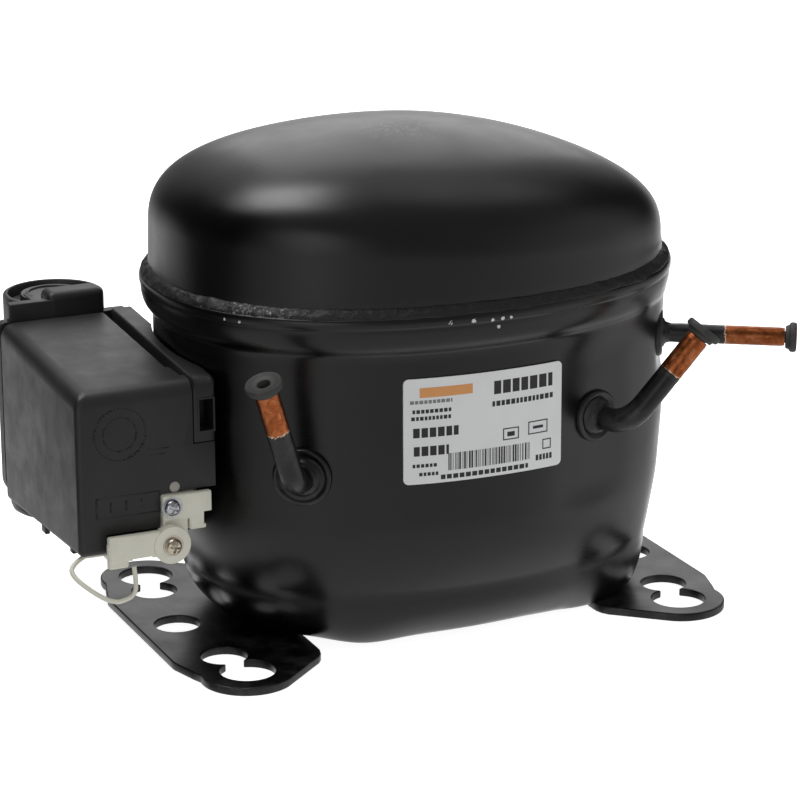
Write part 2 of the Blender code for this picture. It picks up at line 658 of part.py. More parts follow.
def make_terminal_base():
    """The back frame of the terminal box, hollowed to the curve of the shell's end."""
    low, high = (BOX_SPLIT_X + GAP, BOX_FRONT_Y, BOX_LOW_Z), (BASE_INNER_X, BOX_REAR_Y, BOX_TOP_REAR_Z - 1 * MM)
    base = box("terminal_box_base", low, high, 1.2 * MM, 1)
    combine(base, shell_prism("base_hollow", 2 * GAP, BOX_LOW_Z - 5 * MM, BOX_TOP_REAR_Z + 5 * MM))
    combine(base, cylinder("terminal_port", TERMINAL_R + 3 * MM, (-100 * MM, TERMINAL_Y, TERMINAL_Z),
                           (1, 0, 0), 20 * MM, 24))
    combine(base, box("front_corner", (-100 * MM, BOX_FRONT_Y - 3 * MM, 98.0 * MM),
                      (-80 * MM, BOX_FRONT_Y + 3.5 * MM, 110 * MM)))
    combine(base, box("apron_recess", (-100 * MM, BOX_FRONT_Y - 3 * MM, 40 * MM),
                      (-80 * MM, BOX_FRONT_Y + BOX_WALL + GAP, APRON_TOP_Z + GAP)))
    combine(base, box("clamp_clearance", (-100 * MM, BOX_FRONT_Y - 3 * MM, 40 * MM),
                      (-80 * MM, -20 * MM, APRON_LOW_Z)))
    put(base, BLACK_PLASTIC, FRAME)


def pin_centre(place):
    return TERMINAL_Y + place[0], TERMINAL_Z + place[1]


def make_hermetic_terminal():
    """The sealed plug through which the motor's three leads leave the shell."""
    face_x = TERMINAL_PAD_X - GAP
    plug = turned("hermetic_terminal",
                  [(0.0, 2.6 * MM), (10.0 * MM, 2.6 * MM), (11.5 * MM, 1.2 * MM), (TERMINAL_R, 1.2 * MM),
                   (TERMINAL_R, 0.0), (0.0, 0.0)],
                  (face_x, TERMINAL_Y, TERMINAL_Z), (-1, 0, 0), 24)
    for number, place in enumerate(PIN_PLACES):
        y, z = pin_centre(place)
        combine(plug, cylinder("terminal_pin_%d" % number, PIN_R, (face_x - 1.0 * MM, y, z), (-1, 0, 0),
                               12 * MM, 12), "UNION")
    put(plug, ZINC, FRAME)


def make_starting_devices():
    """Start relay on the two lower pins, overload protector on the upper one."""
    relay = box("start_relay", (-126 * MM, -12 * MM, 53 * MM), (-99 * MM, 30 * MM, 79 * MM), 1.0 * MM, 1)
    protector = box("overload_protector", (-121 * MM, -9 * MM, 79.6 * MM), (-99 * MM, 19 * MM, 98 * MM), 3 * MM, 2)
    for number, place in enumerate(PIN_PLACES):
        y, z = pin_centre(place)
        socket = cylinder("socket_%d" % number, PIN_R + GAP, (-95 * MM, y, z), (-1, 0, 0), 10 * MM, 12)
        combine(protector if place[1] > 0 else relay, socket)
    put(relay, BLACK_PLASTIC, FRAME)
    put(protector, BLACK_PLASTIC, FRAME)


def make_capacitor():
    """Start capacitor: moulded can with a recessed lid, held in a bracket behind the box."""
    rim = 2.0 * MM
    floor = CAN_TOP_Z - 7.0 * MM
    height = CAN_TOP_Z - CAN_LOW_Z
    can = turned("start_capacitor",
                 [(CAN_R - rim, height), (CAN_R - 0.8 * MM, height), (CAN_R, height - 1.0 * MM),
                  (CAN_R, 1.5 * MM), (CAN_R - 1.5 * MM, 0.0), (0.0, 0.0), (0.0, floor - CAN_LOW_Z),
                  (CAN_R - rim, floor - CAN_LOW_Z)],
                 (CAN_X, CAN_Y, CAN_LOW_Z), (0, 0, 1), 28)
    put(can, BLACK_PLASTIC, FRAME)
    lid_r = CAN_R - rim - GAP
    lid = turned("capacitor_lid",
                 [(0.0, 6.2 * MM), (10.8 * MM, 6.2 * MM), (11.4 * MM, 5.6 * MM), (11.4 * MM, 3.0 * MM),
                  (lid_r, 3.0 * MM), (lid_r, 0.0), (0.0, 0.0)],
                 (CAN_X, CAN_Y, floor + GAP), (0, 0, 1), 28)
    put(lid, BLACK_PLASTIC, FRAME)


def make_capacitor_holder():
    """Bracket behind the box: a wall that the can leans on and a ring round the can's lower half."""
    front, back = BOX_REAR_Y + GAP, BOX_REAR_Y + 4.6 * MM
    holder = box("capacitor_holder", (-134.6 * MM, front, 41 * MM), (-88 * MM, back, BOX_TOP_REAR_Z - 0.3 * MM))
    combine(holder, box("holder_rib", (-130.8 * MM, front, 98 * MM), (-114 * MM, back, 111.5 * MM)), "UNION")
    combine(holder, box("holder_clip", (-116.8 * MM, front, 98 * MM), (-96.6 * MM, 58.0 * MM, 115.6 * MM),
                        1.5 * MM), "UNION")
    combine(holder, box("holder_web", (CAN_X - 5 * MM, back - 2 * MM, 52 * MM),
                        (CAN_X + 5 * MM, CAN_Y - CAN_R + 2 * MM, 68 * MM)), "UNION")
    combine(holder, cylinder("holder_ring", CAN_R + 2.2 * MM, (CAN_X, CAN_Y, 52 * MM), (0, 0, 1), 16 * MM, 28),
            "UNION")
    combine(holder, cylinder("holder_bore", CAN_R + GAP, (CAN_X, CAN_Y, 20 * MM), (0, 0, 1),
                             CAN_TOP_Z + GAP - 20 * MM, 28))
    put(holder, BLACK_PLASTIC, FRAME)


# ================================ cord clamp ======================================================

def make_cord_clamp():
    """White nylon cord relief: a foot screwed to the box and a bar that swings on its own screw."""
    pivot_x, pivot_z = CLAMP_PIVOT
    foot = box("cord_clamp_foot", (-106.3 * MM, CLAMP_FRONT_Y, 53.9 * MM), (-88.9 * MM, -30.0 * MM, 63.6 * MM),
               0.5 * MM, 1)
    combine(foot, box("foot_leg", (-106.3 * MM, CLAMP_FRONT_Y + 0.2 * MM, 43.0 * MM),
                      (-97.5 * MM, -31.0 * MM, 56.0 * MM)), "UNION")
    combine(foot, box("foot_tab", (-96.9 * MM, CLAMP_FRONT_Y + 0.2 * MM, 50.6 * MM),
                      (-91.0 * MM, -31.0 * MM, 56.0 * MM)), "UNION")
    combine(foot, box("foot_base_clearance", (BOX_SPLIT_X, BOX_FRONT_Y - GAP, 40 * MM),
                      (-80 * MM, -20 * MM, 70 * MM)))
    for x, z in (CLAMP_SCREW, CLAMP_PIVOT):
        combine(foot, cylinder("foot_hole", SCREW_R + GAP, (x, CLAMP_FRONT_Y - 3 * MM, z), (0, 1, 0), 12 * MM, 14))
    put(foot, WHITE_NYLON, FRAME)

    swing = pivot("clamp_bar_axis", (pivot_x, BAR_FRONT_Y, pivot_z), FRAME)
    bar = cylinder("cord_clamp_bar", 6.5 * MM, (pivot_x, BAR_FRONT_Y, pivot_z), (0, 1, 0), 3.9 * MM, 24)
    combine(bar, box("bar_arm", (-125.2 * MM, BAR_FRONT_Y + 0.6 * MM, 43.4 * MM),
                     (-104 * MM, BAR_FRONT_Y + 3.6 * MM, 51.2 * MM), 0.5 * MM, 1), "UNION")
    combine(bar, box("bar_hook", (-128.6 * MM, BAR_FRONT_Y + 0.9 * MM, 40.8 * MM),
                     (-119.6 * MM, BAR_FRONT_Y + 3.4 * MM, 46.0 * MM), 0.5 * MM, 1), "UNION")
    combine(bar, box("bar_foot", (-131.0 * MM, BAR_FRONT_Y + 2.0 * MM, 41.4 * MM),
                     (-120.5 * MM, -27.0 * MM, 44.4 * MM)), "UNION")
    combine(bar, cylinder("bar_hole", SCREW_R + GAP, (pivot_x, BAR_FRONT_Y - 3 * MM, pivot_z), (0, 1, 0),
                          12 * MM, 14))
    put(bar, WHITE_NYLON, swing)

    for name, x, y, z, shank in (("foot_screw", CLAMP_SCREW[0], CLAMP_FRONT_Y - GAP, CLAMP_SCREW[1], 5.0 * MM),
                                 ("clamp_bar_screw", pivot_x, BAR_FRONT_Y - GAP, pivot_z, 8.6 * MM)):
        screw = turned(name,
                       [(0.0, 2.2 * MM), (1.4 * MM, 2.1 * MM), (2.5 * MM, 1.4 * MM), (2.9 * MM, 0.5 * MM),
                        (2.9 * MM, 0.0), (SCREW_R, 0.0), (SCREW_R, -shank), (0.0, -shank)],
                       (x, y, z), (0, -1, 0), 14)
        put(screw, ZINC, FRAME)

    route = [Vector(point) * MM for point in TETHER_ROUTE]
    put(tube("clamp_tether", smooth_points(route, 28), TETHER_R), WHITE_NYLON, swing)


# ================================ pump unit =======================================================

def corners(reach_x, reach_y=None):
    reach_y = reach_x if reach_y is None else reach_y
    return [(sx * reach_x, sy * reach_y) for sx in (-1, 1) for sy in (-1, 1)]


def pump_place(x, y, z):
    """A point of the pump unit, whose shaft stands at the shell's centre."""
    return Vector((SHELL_X + x, SHELL_Y + y, z))


def pump_box(name, low, high, bevel=0.0, segments=1):
    return box(name, pump_place(*low), pump_place(*high), bevel, segments)


def make_stator(unit):
    bm = bmesh.new()
    half, chamfer = STATOR_HALF, STATOR_CHAMFER
    profile = []
    for sx, sy in ((1, 1), (-1, 1), (-1, -1), (1, -1)):
        pair = [(sx * half, sy * (half - chamfer)), (sx * (half - chamfer), sy * half)]
        profile += pair if sx * sy > 0 else list(reversed(pair))
    low = [bm.verts.new(pump_place(x, y, STATOR_LOW_Z)) for x, y in profile]
    high = [bm.verts.new(pump_place(x, y, STATOR_TOP_Z)) for x, y in profile]
    bm.faces.new(list(reversed(low)))
    bm.faces.new(high)
    for i in range(len(profile)):
        j = (i + 1) % len(profile)
        bm.faces.new((low[i], low[j], high[j], high[i]))
    stator = mesh_object("stator_core", bm)
    height = STATOR_TOP_Z - STATOR_LOW_Z
    combine(stator, cylinder("stator_bore", STATOR_BORE_R, pump_place(0, 0, STATOR_LOW_Z - 1 * MM), (0, 0, 1),
                             height + 2 * MM, 32))
    for number, (x, y) in enumerate(corners(BOLT_AT)):
        combine(stator, cylinder("stator_hole_%d" % number, BOLT_R + GAP, pump_place(x, y, STATOR_LOW_Z - 1 * MM),
                                 (0, 0, 1), height + 2 * MM, 12))
    put(stator, LAMINATION, unit)
    for name, low_z in (("lower_winding", STATOR_LOW_Z - GAP - WINDING_H), ("upper_winding", STATOR_TOP_Z + GAP)):
        round_off = 3.0 * MM
        ring = turned(name, [(WINDING_BORE_R + round_off, WINDING_H), (WINDING_R - round_off, WINDING_H),
                             (WINDING_R, WINDING_H - round_off), (WINDING_R, round_off),
                             (WINDING_R - round_off, 0.0), (WINDING_BORE_R + round_off, 0.0),
                             (WINDING_BORE_R, round_off), (WINDING_BORE_R, WINDING_H - round_off)],
                      pump_place(0, 0, low_z), (0, 0, 1), 24)
        put(ring, ENAMEL_WIRE, unit)


def make_crankcase(unit):
    """Cast block: a square deck on four legs, the main bearing and the cylinder."""
    case = pump_box("crankcase", (-CASE_HALF, -CASE_HALF, CASE_LOW_Z), (CASE_HALF, CASE_HALF, CASE_TOP_Z), 1.5 * MM)
    for number, (x, y) in enumerate(corners(BOLT_AT)):
        combine(case, cylinder("leg_%d" % number, 5.5 * MM, pump_place(x, y, STATOR_TOP_Z + GAP), (0, 0, 1),
                               CASE_LOW_Z - STATOR_TOP_Z + 4 * MM, 12), "UNION")
    combine(case, cylinder("bearing", BEARING_R, pump_place(0, 0, BEARING_LOW_Z), (0, 0, 1),
                           BEARING_TOP_Z - BEARING_LOW_Z, 24), "UNION")
    combine(case, pump_box("block", (BLOCK_X[0], -BLOCK_HALF_Y, BLOCK_Z[0]), (BLOCK_X[1], BLOCK_HALF_Y, BLOCK_Z[1]),
                           1.5 * MM), "UNION")
    combine(case, cylinder("bearing_bore", SHAFT_R + GAP, pump_place(0, 0, 70 * MM), (0, 0, 1), 45 * MM, 24))
    combine(case, cylinder("cylinder_bore", BORE_R, pump_place(20 * MM, 0, CYLINDER_Z), (1, 0, 0), 45 * MM, 24))
    for number, (x, y) in enumerate(corners(BOLT_AT)):
        combine(case, cylinder("leg_hole_%d" % number, BOLT_R + GAP, pump_place(x, y, 70 * MM), (0, 0, 1),
                               40 * MM, 12))
    for number, (y, z) in enumerate(head_bolt_places()):
        combine(case, cylinder("case_tap_%d" % number, 2.0 * MM + GAP, pump_place(46 * MM, y, z), (1, 0, 0),
                               20 * MM, 10))
    put(case, IRON, unit)
    for number, (x, y) in enumerate(corners(BOLT_AT)):
        bolt = turned("stator_bolt_%d" % (number + 1),
                      [(0.0, 3.5 * MM), (4.2 * MM, 3.5 * MM), (4.2 * MM, 0.0), (BOLT_R, 0.0), (BOLT_R, -61 * MM),
                       (0.0, -61 * MM)],
                      pump_place(x, y, CASE_TOP_Z + GAP), (0, 0, 1), 12)
        put(bolt, ZINC, unit)


def head_bolt_places():
    return [(sy * 13.0 * MM, z) for sy in (-1, 1) for z in (110.0 * MM, 136.0 * MM)]


def make_valve_gear(unit):
    """Valve plate with its two reeds, cylinder head and head bolts."""
    low_z, high_z = HEAD_LOW_Z, BLOCK_Z[1]
    plate = pump_box("valve_plate", (VALVE_PLATE_X[0], -BLOCK_HALF_Y, low_z),
                     (VALVE_PLATE_X[1], BLOCK_HALF_Y, high_z))
    head = pump_box("cylinder_head", (HEAD_X[0], -BLOCK_HALF_Y, low_z), (HEAD_X[1], BLOCK_HALF_Y, high_z), 1.0 * MM)
    ports = ((-4.5 * MM, SUCTION_REED_Z, 2.2 * MM), (-4.5 * MM, DISCHARGE_REED_Z, 1.8 * MM))
    for number, (y, z, radius) in enumerate(ports):
        combine(plate, cylinder("port_%d" % number, radius, pump_place(50 * MM, y, z), (1, 0, 0), 15 * MM, 12))
    combine(head, pump_box("discharge_chamber", (55 * MM, -10.5 * MM, 123.6 * MM), (69 * MM, 10.5 * MM, 132.0 * MM)))
    combine(head, pump_box("suction_chamber", (55 * MM, -10.5 * MM, 114.0 * MM), (69 * MM, 10.5 * MM, 122.4 * MM)))
    for number, (y, z) in enumerate(head_bolt_places()):
        for piece in (plate, head):
            combine(piece, cylinder("bolt_hole_%s_%d" % (piece.name[:5], number), 2.0 * MM + GAP,
                                    pump_place(50 * MM, y, z), (1, 0, 0), 30 * MM, 10))
    put(plate, STEEL, unit)
    put(head, ALUMINIUM, unit)
    for number, (y, z) in enumerate(head_bolt_places()):
        bolt = turned("head_bolt_%d" % (number + 1),
                      [(0.0, 3.0 * MM), (3.4 * MM, 3.0 * MM), (3.4 * MM, 0.0), (2.0 * MM, 0.0),
                       (2.0 * MM, -24 * MM), (0.0, -24 * MM)],
                      pump_place(HEAD_X[1] + GAP, y, z), (1, 0, 0), 10)
        put(bolt, ZINC, unit)
    for name, x, z in (("suction_reed", VALVE_PLATE_X[0] - GAP - REED_T, SUCTION_REED_Z),
                       ("discharge_reed", VALVE_PLATE_X[1] + GAP, DISCHARGE_REED_Z)):
        root = pump_place(x + REED_T / 2, REED_L / 2, z)
        flex = pivot(name + "_axis", root, unit)
        reed = pump_box(name, (x, -REED_L / 2, z - REED_HALF_W), (x + REED_T, REED_L / 2, z + REED_HALF_W))
        put(reed, STEEL, flex)


def make_suction_muffler(unit):
    muffler = pump_box("suction_muffler", (30 * MM, -45 * MM, 108 * MM), (58 * MM, -21 * MM, 138 * MM), 3 * MM, 2)
    neck = cylinder("muffler_neck", 4 * MM, pump_place(66 * MM, -32 * MM, 118 * MM), (0, 1, 0), 14.5 * MM, 14)
    arm = cylinder("muffler_arm", 4 * MM, pump_place(50 * MM, -32 * MM, 118 * MM), (1, 0, 0), 18 * MM, 14)
    combine(muffler, arm, "UNION")
    combine(muffler, neck, "UNION")
    put(muffler, MUFFLER_PLASTIC, unit)


def make_discharge_pipe(unit):
    """The looped pipe that carries the hot gas from the head towards the discharge stub."""
    route = [(66, 17.5, 128), (66, 24, 128), (65, 34, 125), (56, 46, 119), (38, 54, 113), (12, 57, 109),
             (-14, 57, 106), (-40, 54, 104), (-54, 44, 102), (-62, 20, 100), (-63, -10, 98), (-60, -32, 98),
             (-50, -48, 98), (-32, -56, 98), (-8, -59, 98), (22, -58, 98), (46, -50, 98), (62, -37, 98),
             (70, -27, 98)]
    points = smooth_points([pump_place(x * MM, y * MM, z * MM) for x, y, z in route], 36)
    put(tube("discharge_pipe", points, PIPE_R), COPPER, unit)


def make_crank(unit):
    """Crankshaft with its web, counterweight, rotor and oil pickup, on the vertical shaft axis."""
    spin = pivot("crank_axis", pump_place(0, 0, 0), unit)
    shaft = turned("crankshaft",
                   [(0.0, WEB_TOP_Z), (WEB_R, WEB_TOP_Z), (WEB_R, WEB_LOW_Z), (SHAFT_R, WEB_LOW_Z),
                    (SHAFT_R, SHAFT_LOW_Z), (0.0, SHAFT_LOW_Z)],
                   pump_place(0, 0, 0), (0, 0, 1), 24)
    put(shaft, STEEL, spin)
    weight = cylinder("counterweight", COUNTERWEIGHT_R, pump_place(0, 0, WEB_LOW_Z), (0, 0, 1), 5 * MM, 28)
    combine(weight, cylinder("web_seat", WEB_R + GAP, pump_place(0, 0, 100 * MM), (0, 0, 1), 25 * MM, 24))
    combine(weight, pump_box("weight_half", (-30 * MM, -30 * MM, 100 * MM), (3 * MM, 30 * MM, 125 * MM)))
    put(weight, IRON, spin)
    rotor = turned("rotor",
                   [(SHAFT_R + GAP, STATOR_TOP_Z), (ROTOR_R, STATOR_TOP_Z), (ROTOR_R, STATOR_LOW_Z),
                    (SHAFT_R + GAP, STATOR_LOW_Z)],
                   pump_place(0, 0, 0), (0, 0, 1), 32)
    put(rotor, LAMINATION, spin)
    pickup = turned("oil_pickup",
                    [(2.0 * MM, SHAFT_LOW_Z - GAP), (7.0 * MM, SHAFT_LOW_Z - GAP), (7.0 * MM, 25 * MM),
                     (4.0 * MM, PICKUP_LOW_Z), (2.0 * MM, PICKUP_LOW_Z)],
                    pump_place(0, 0, 0), (0, 0, 1), 16)
    put(pickup, STEEL, spin)


def make_piston_train(unit):
    """Piston, gudgeon pin, connecting rod and crank pin, drawn at bottom dead centre."""
    crank_x = -CRANK_R
    pin_x = crank_x + ROD_L
    slide = pivot("piston_axis", pump_place(pin_x, 0, CYLINDER_Z), unit)
    start = pump_place(pin_x - PISTON_PIN_BACK, 0, CYLINDER_Z)
    piston = cylinder("piston", PISTON_R, start, (1, 0, 0), PISTON_L, 24)
    combine(piston, pump_box("piston_hollow", (pin_x - 20 * MM, -8 * MM, 117.5 * MM),
                             (pin_x + 7.3 * MM, 8 * MM, 128.5 * MM)))
    combine(piston, pump_box("reed_relief", (pin_x + 8 * MM, -10.2 * MM, 115.4 * MM),
                             (pin_x + 15 * MM, 10.2 * MM, 123.6 * MM)))
    combine(piston, cylinder("gudgeon_bore", 3.0 * MM + GAP, pump_place(pin_x, 0, 105 * MM), (0, 0, 1), 40 * MM, 14))
    put(piston, IRON, slide)
    put(cylinder("gudgeon_pin", 3.0 * MM, pump_place(pin_x, 0, CYLINDER_Z - 9.4 * MM), (0, 0, 1), 18.8 * MM, 14),
        STEEL, slide)
    swing = pivot("rod_axis", pump_place(pin_x, 0, CYLINDER_Z), slide)
    rod = cylinder("connecting_rod", 9.2 * MM, pump_place(crank_x, 0, 118.2 * MM), (0, 0, 1), 9.6 * MM, 24)
    combine(rod, cylinder("small_end", 6.6 * MM, pump_place(pin_x, 0, 118.2 * MM), (0, 0, 1), 9.6 * MM, 20), "UNION")
    combine(rod, pump_box("rod_shank", (crank_x + 5 * MM, -3.4 * MM, 120.5 * MM),
                          (pin_x - 4 * MM, 3.4 * MM, 125.5 * MM)), "UNION")
    combine(rod, cylinder("big_end_bore", 5.0 * MM + GAP, pump_place(crank_x, 0, 110 * MM), (0, 0, 1), 25 * MM, 18))
    combine(rod, cylinder("small_end_bore", 3.0 * MM + GAP, pump_place(pin_x, 0, 110 * MM), (0, 0, 1), 25 * MM, 14))
    put(rod, ALUMINIUM, swing)
    put(cylinder("crank_pin", 5.0 * MM, pump_place(crank_x, 0, WEB_TOP_Z + GAP), (0, 0, 1), 15 * MM, 18), STEEL, swing)


def make_springs(unit):
    """Four coil springs that carry the pump unit from the shell's bottom."""
    per_turn = 8
    count = SPRING_TURNS * per_turn
    height = SPRING_TOP_Z - SPRING_LOW_Z - 2 * SPRING_WIRE_R
    for number, (x, y) in enumerate(corners(*SPRING_AT)):
        foot = pivot("spring_%d_foot" % (number + 1), pump_place(x, y, SPRING_LOW_Z), FRAME)
        points = []
        for step in range(count + 1):
            angle = 2 * math.pi * step / per_turn
            points.append(pump_place(x + SPRING_COIL_R * math.cos(angle), y + SPRING_COIL_R * math.sin(angle),
                                     SPRING_LOW_Z + SPRING_WIRE_R + height * step / count))
        spring = tube("suspension_spring_%d" % (number + 1), points, SPRING_WIRE_R, 1)
        put(spring, STEEL, foot)


def centre_footprint():
    """Shift the frame so that the footprint of all the pieces but the tether is centred on the origin."""
    bpy.context.view_layer.update()
    graph = bpy.context.evaluated_depsgraph_get()
    low, high = Vector((1e9, 1e9)), Vector((-1e9, -1e9))
    for obj in PARTS.objects:
        if obj.type == "EMPTY" or obj.name == "clamp_tether":
            continue
        shape = obj.evaluated_get(graph)
        mesh = shape.to_mesh()
        for vert in mesh.vertices:
            place = obj.matrix_world @ vert.co
            low = Vector((min(low.x, place.x), min(low.y, place.y)))
            high = Vector((max(high.x, place.x), max(high.y, place.y)))
        shape.to_mesh_clear()
    FRAME.location = (-(low.x + high.x) / 2, -(low.y + high.y) / 2, 0.0)


make_lower_shell()
make_upper_shell()
make_weld_bead()
make_base_plate("base_plate_left", -1)
make_base_plate("base_plate_right", 1)
for stub_name, stub_shape in STUBS.items():
    make_stub(stub_name, stub_shape)
make_label()
make_terminal_base()
make_terminal_cover()
make_hermetic_terminal()
make_starting_devices()
make_capacitor()
make_capacitor_holder()
make_cord_clamp()
PUMP = pivot("pump_unit_axis", pump_place(0, 0, 0), FRAME)
make_stator(PUMP)
make_crankcase(PUMP)
make_valve_gear(PUMP)
make_suction_muffler(PUMP)
make_discharge_pipe(PUMP)
make_crank(PUMP)
make_piston_train(PUMP)
make_springs(PUMP)
centre_footprint()
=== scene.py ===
"""Looks of the hermetic reciprocating compressor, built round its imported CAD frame."""
import json
import random
from math import acos, atan2, cos, exp, pi, radians, sin, sqrt

import bmesh
import bpy
from mathutils import Matrix, Vector
from mathutils.noise import noise


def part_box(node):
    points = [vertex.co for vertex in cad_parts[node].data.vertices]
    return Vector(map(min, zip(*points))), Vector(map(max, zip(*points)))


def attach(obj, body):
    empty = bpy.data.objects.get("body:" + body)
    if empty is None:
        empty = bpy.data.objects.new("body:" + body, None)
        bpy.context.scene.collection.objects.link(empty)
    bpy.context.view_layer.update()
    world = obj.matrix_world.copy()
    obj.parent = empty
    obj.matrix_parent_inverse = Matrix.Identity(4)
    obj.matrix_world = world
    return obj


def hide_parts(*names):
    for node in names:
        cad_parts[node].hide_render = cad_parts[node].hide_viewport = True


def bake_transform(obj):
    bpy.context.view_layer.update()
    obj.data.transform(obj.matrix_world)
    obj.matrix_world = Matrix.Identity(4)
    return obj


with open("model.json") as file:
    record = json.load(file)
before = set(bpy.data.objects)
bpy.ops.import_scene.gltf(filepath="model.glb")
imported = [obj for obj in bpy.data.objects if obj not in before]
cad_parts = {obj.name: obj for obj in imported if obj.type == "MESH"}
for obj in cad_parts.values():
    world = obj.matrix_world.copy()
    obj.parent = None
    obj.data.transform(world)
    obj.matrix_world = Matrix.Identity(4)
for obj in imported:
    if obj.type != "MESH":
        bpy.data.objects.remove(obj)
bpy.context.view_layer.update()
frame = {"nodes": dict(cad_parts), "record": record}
MM = 0.001
PLATE_END = 103.0
plate_low, plate_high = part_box("base_plate_left")
ORIGIN = Vector((plate_low.x + PLATE_END * MM, (plate_low.y + plate_high.y) / 2.0, 0.0))

UP, FORWARD = (0, 0, 1), (0, -1, 0)

# ---- sizes in millimetres from the middle of the mounting holes; the shell is a superellipse ----
SHELL_X, SHELL_Y = -0.3, 0.5
SEAM_A, SEAM_B = 91.0, 72.3  # half length and half width at the seam
POWER = 2.2
INSET = 1.2  # the bowl's wall, in from the seam
SHEET_T = 2.6
RIGHT_FULL = 2.6  # how much fuller the bowl's right end is than its left
SHELL_STEPS = 240
BOWL_Z, BOWL_R, BOWL_TAPER, BOWL_TAPER_Z = 3.3, 20.6, 8.0, 50.0
DOME_WALL_LOW, DOME_WALL_Z, DOME_RISE, DOME_DRAFT = 129.5, 137.7, 39.0, 0.4
DOME_TILT = (-0.067, -0.032)  # the dome is higher over the box end and the front
STUBS = {
    "process": dict(wall=(-63.7, -54.9, 69.7), normal=(-0.55, -0.835, 0.0), stand=10.5,
                    along=(-0.32, -0.17, 0.93), length=38.8, radius=4.0, collar=10.0, sleeve=17.0, cap=6.4),
    "suction": dict(wall=(42.2, -63.9, 79.9), normal=(0.32, -0.947, 0.0), stand=13.9,
                    along=(0.63, -0.12, 0.767), length=37.8, radius=4.0, collar=9.0, sleeve=16.5, cap=6.4),
    "discharge": dict(wall=(79.6, -35.6, 98.0), normal=(0.866, -0.5, 0.0), stand=0.0,
                      along=(0.866, -0.5, -0.015), length=45.0, radius=3.3, collar=8.4, sleeve=22.5, cap=5.3,
                      pad_low=80.0, pad_high=95.0, proud=1.9, tone=0.72),
}
PAD_DEPTH = 1.3  # how far a tube's pad is pressed into the wall
PAD_LOW, PAD_HIGH, PAD_FADE = 44.0, 99.0, 12.0
SLEEVE_WALL = 0.9
DENTS = (((57.3, -46.5, 22.3), 6.5, 0.99), ((57.3, 47.5, 22.3), 6.5, 0.99), ((-79.6, -13.0, 15.5), 5.0, 0.74),
         ((-58.5, -46.0, 21.5), 6.5, 0.93), ((-58.5, 47.0, 21.5), 6.5, 0.93), ((-75.7, -17.0, 10.5), 4.0, 0.5))
FEET = ((-41.0, -52.0, 3.2), (43.0, -47.0, 2.2), (-43.0, 48.0, 2.2), (43.0, 48.0, 2.2))
BEAD_LUMPS = ((0.42, 0.45), (0.34, 1.1), (0.16, 2.4))
PLATE_T, PLATE_EDGE = 3.0, 0.45
SMALL_HOLE, LARGE_HOLE = ((85.0, 35.0), 8.0), ((82.55, 50.8), 9.5)
BOX_OUTER, BOX_SPLIT, BOX_INNER = -135.0, -94.3, -86.0
BOX_FRONT, BOX_REAR = -35.0, 47.2
BOX_LOW, BOX_LOW_REAR, BOX_TOP_FRONT, BOX_TOP_REAR = 45.2, 41.0, 101.6, 105.8
BOX_WALL, BOX_ROUND = 2.0, 5.6
APRON_LOW, APRON_TOP = 64.2, 80.0
CAN_X, CAN_Y, CAN_R, CAN_LOW, CAN_TOP = -106.3, 73.8, 18.0, 26.0, 107.3
CLAMP_FRONT, BAR_FRONT = -37.2, -41.4
PIVOT = (-104.6, 47.6)
FOOT_SCREW = (-103.2, 59.6)
LABEL_X, LABEL_Z = (-32.4, 25.4), (66.6, 103.2)
FOIL_LIFT, PRINT_LIFT = (0.2, 0.62), 0.66
CHIPS = [((-18.4, -74.8, 122.7), 0.9), ((-10.0, -75.0, 122.5), 0.8), ((-3.2, -75.1, 122.1), 0.6),
         ((0.4, -75.1, 122.2), 0.7), ((3.6, -75.1, 122.3), 0.6), ((-0.8, -74.8, 119.4), 0.7),
         ((-83.6, -38.4, 122.6), 0.5), ((-80.2, -43.2, 122.4), 0.5)]
SCUFF = (-10.5, -13.0, 176.0)

# ---- the studio: lights and darks by azimuth, elevation, outer and inner angle, and strength ----
ROOM = ((64.0, 2.0, 46.0, 12.0, 0.30), (-42.0, 8.0, 24.0, 4.0, 0.95), (-122.0, 67.0, 28.0, 12.0, 1.9),
        (152.0, 30.0, 30.0, 14.0, 0.25), (-172.0, 56.0, 30.0, 12.0, 0.3), (108.0, 62.0, 18.0, 6.0, 0.7),
        (150.0, -17.0, 26.0, 8.0, 0.95), (88.0, -70.0, 30.0, 12.0, 0.3), (-154.0, -22.0, 30.0, 12.0, 0.6))
DARKS = ((-120.0, 14.0, 56.0, 36.0, 0.94), (110.0, 20.0, 34.0, 19.0, 0.85))
CAMERA_FROM, CAMERA_AWAY, CAMERA_ROLL, CAMERA_LENS = (-24.07, 17.08), 1.1356, -0.232, 144.42
TARGET = (-3.3, 0.0, 73.7)


def at(x, y, z):
    """A point of the frame from millimetres."""
    return ORIGIN + Vector((x, y, z)) * MM


def smooth(t):
    t = min(max(t, 0.0), 1.0)
    return t * t * (3.0 - 2.0 * t)


def circle(steps):
    return [2.0 * pi * step / steps for step in range(steps)]


def towards(azimuth, elevation):
    """A unit vector: azimuth 0 is the front of the object and 90 its right."""
    a, e = radians(azimuth), radians(elevation)
    return Vector((sin(a) * cos(e), -cos(a) * cos(e), sin(e)))


# ---- materials ----

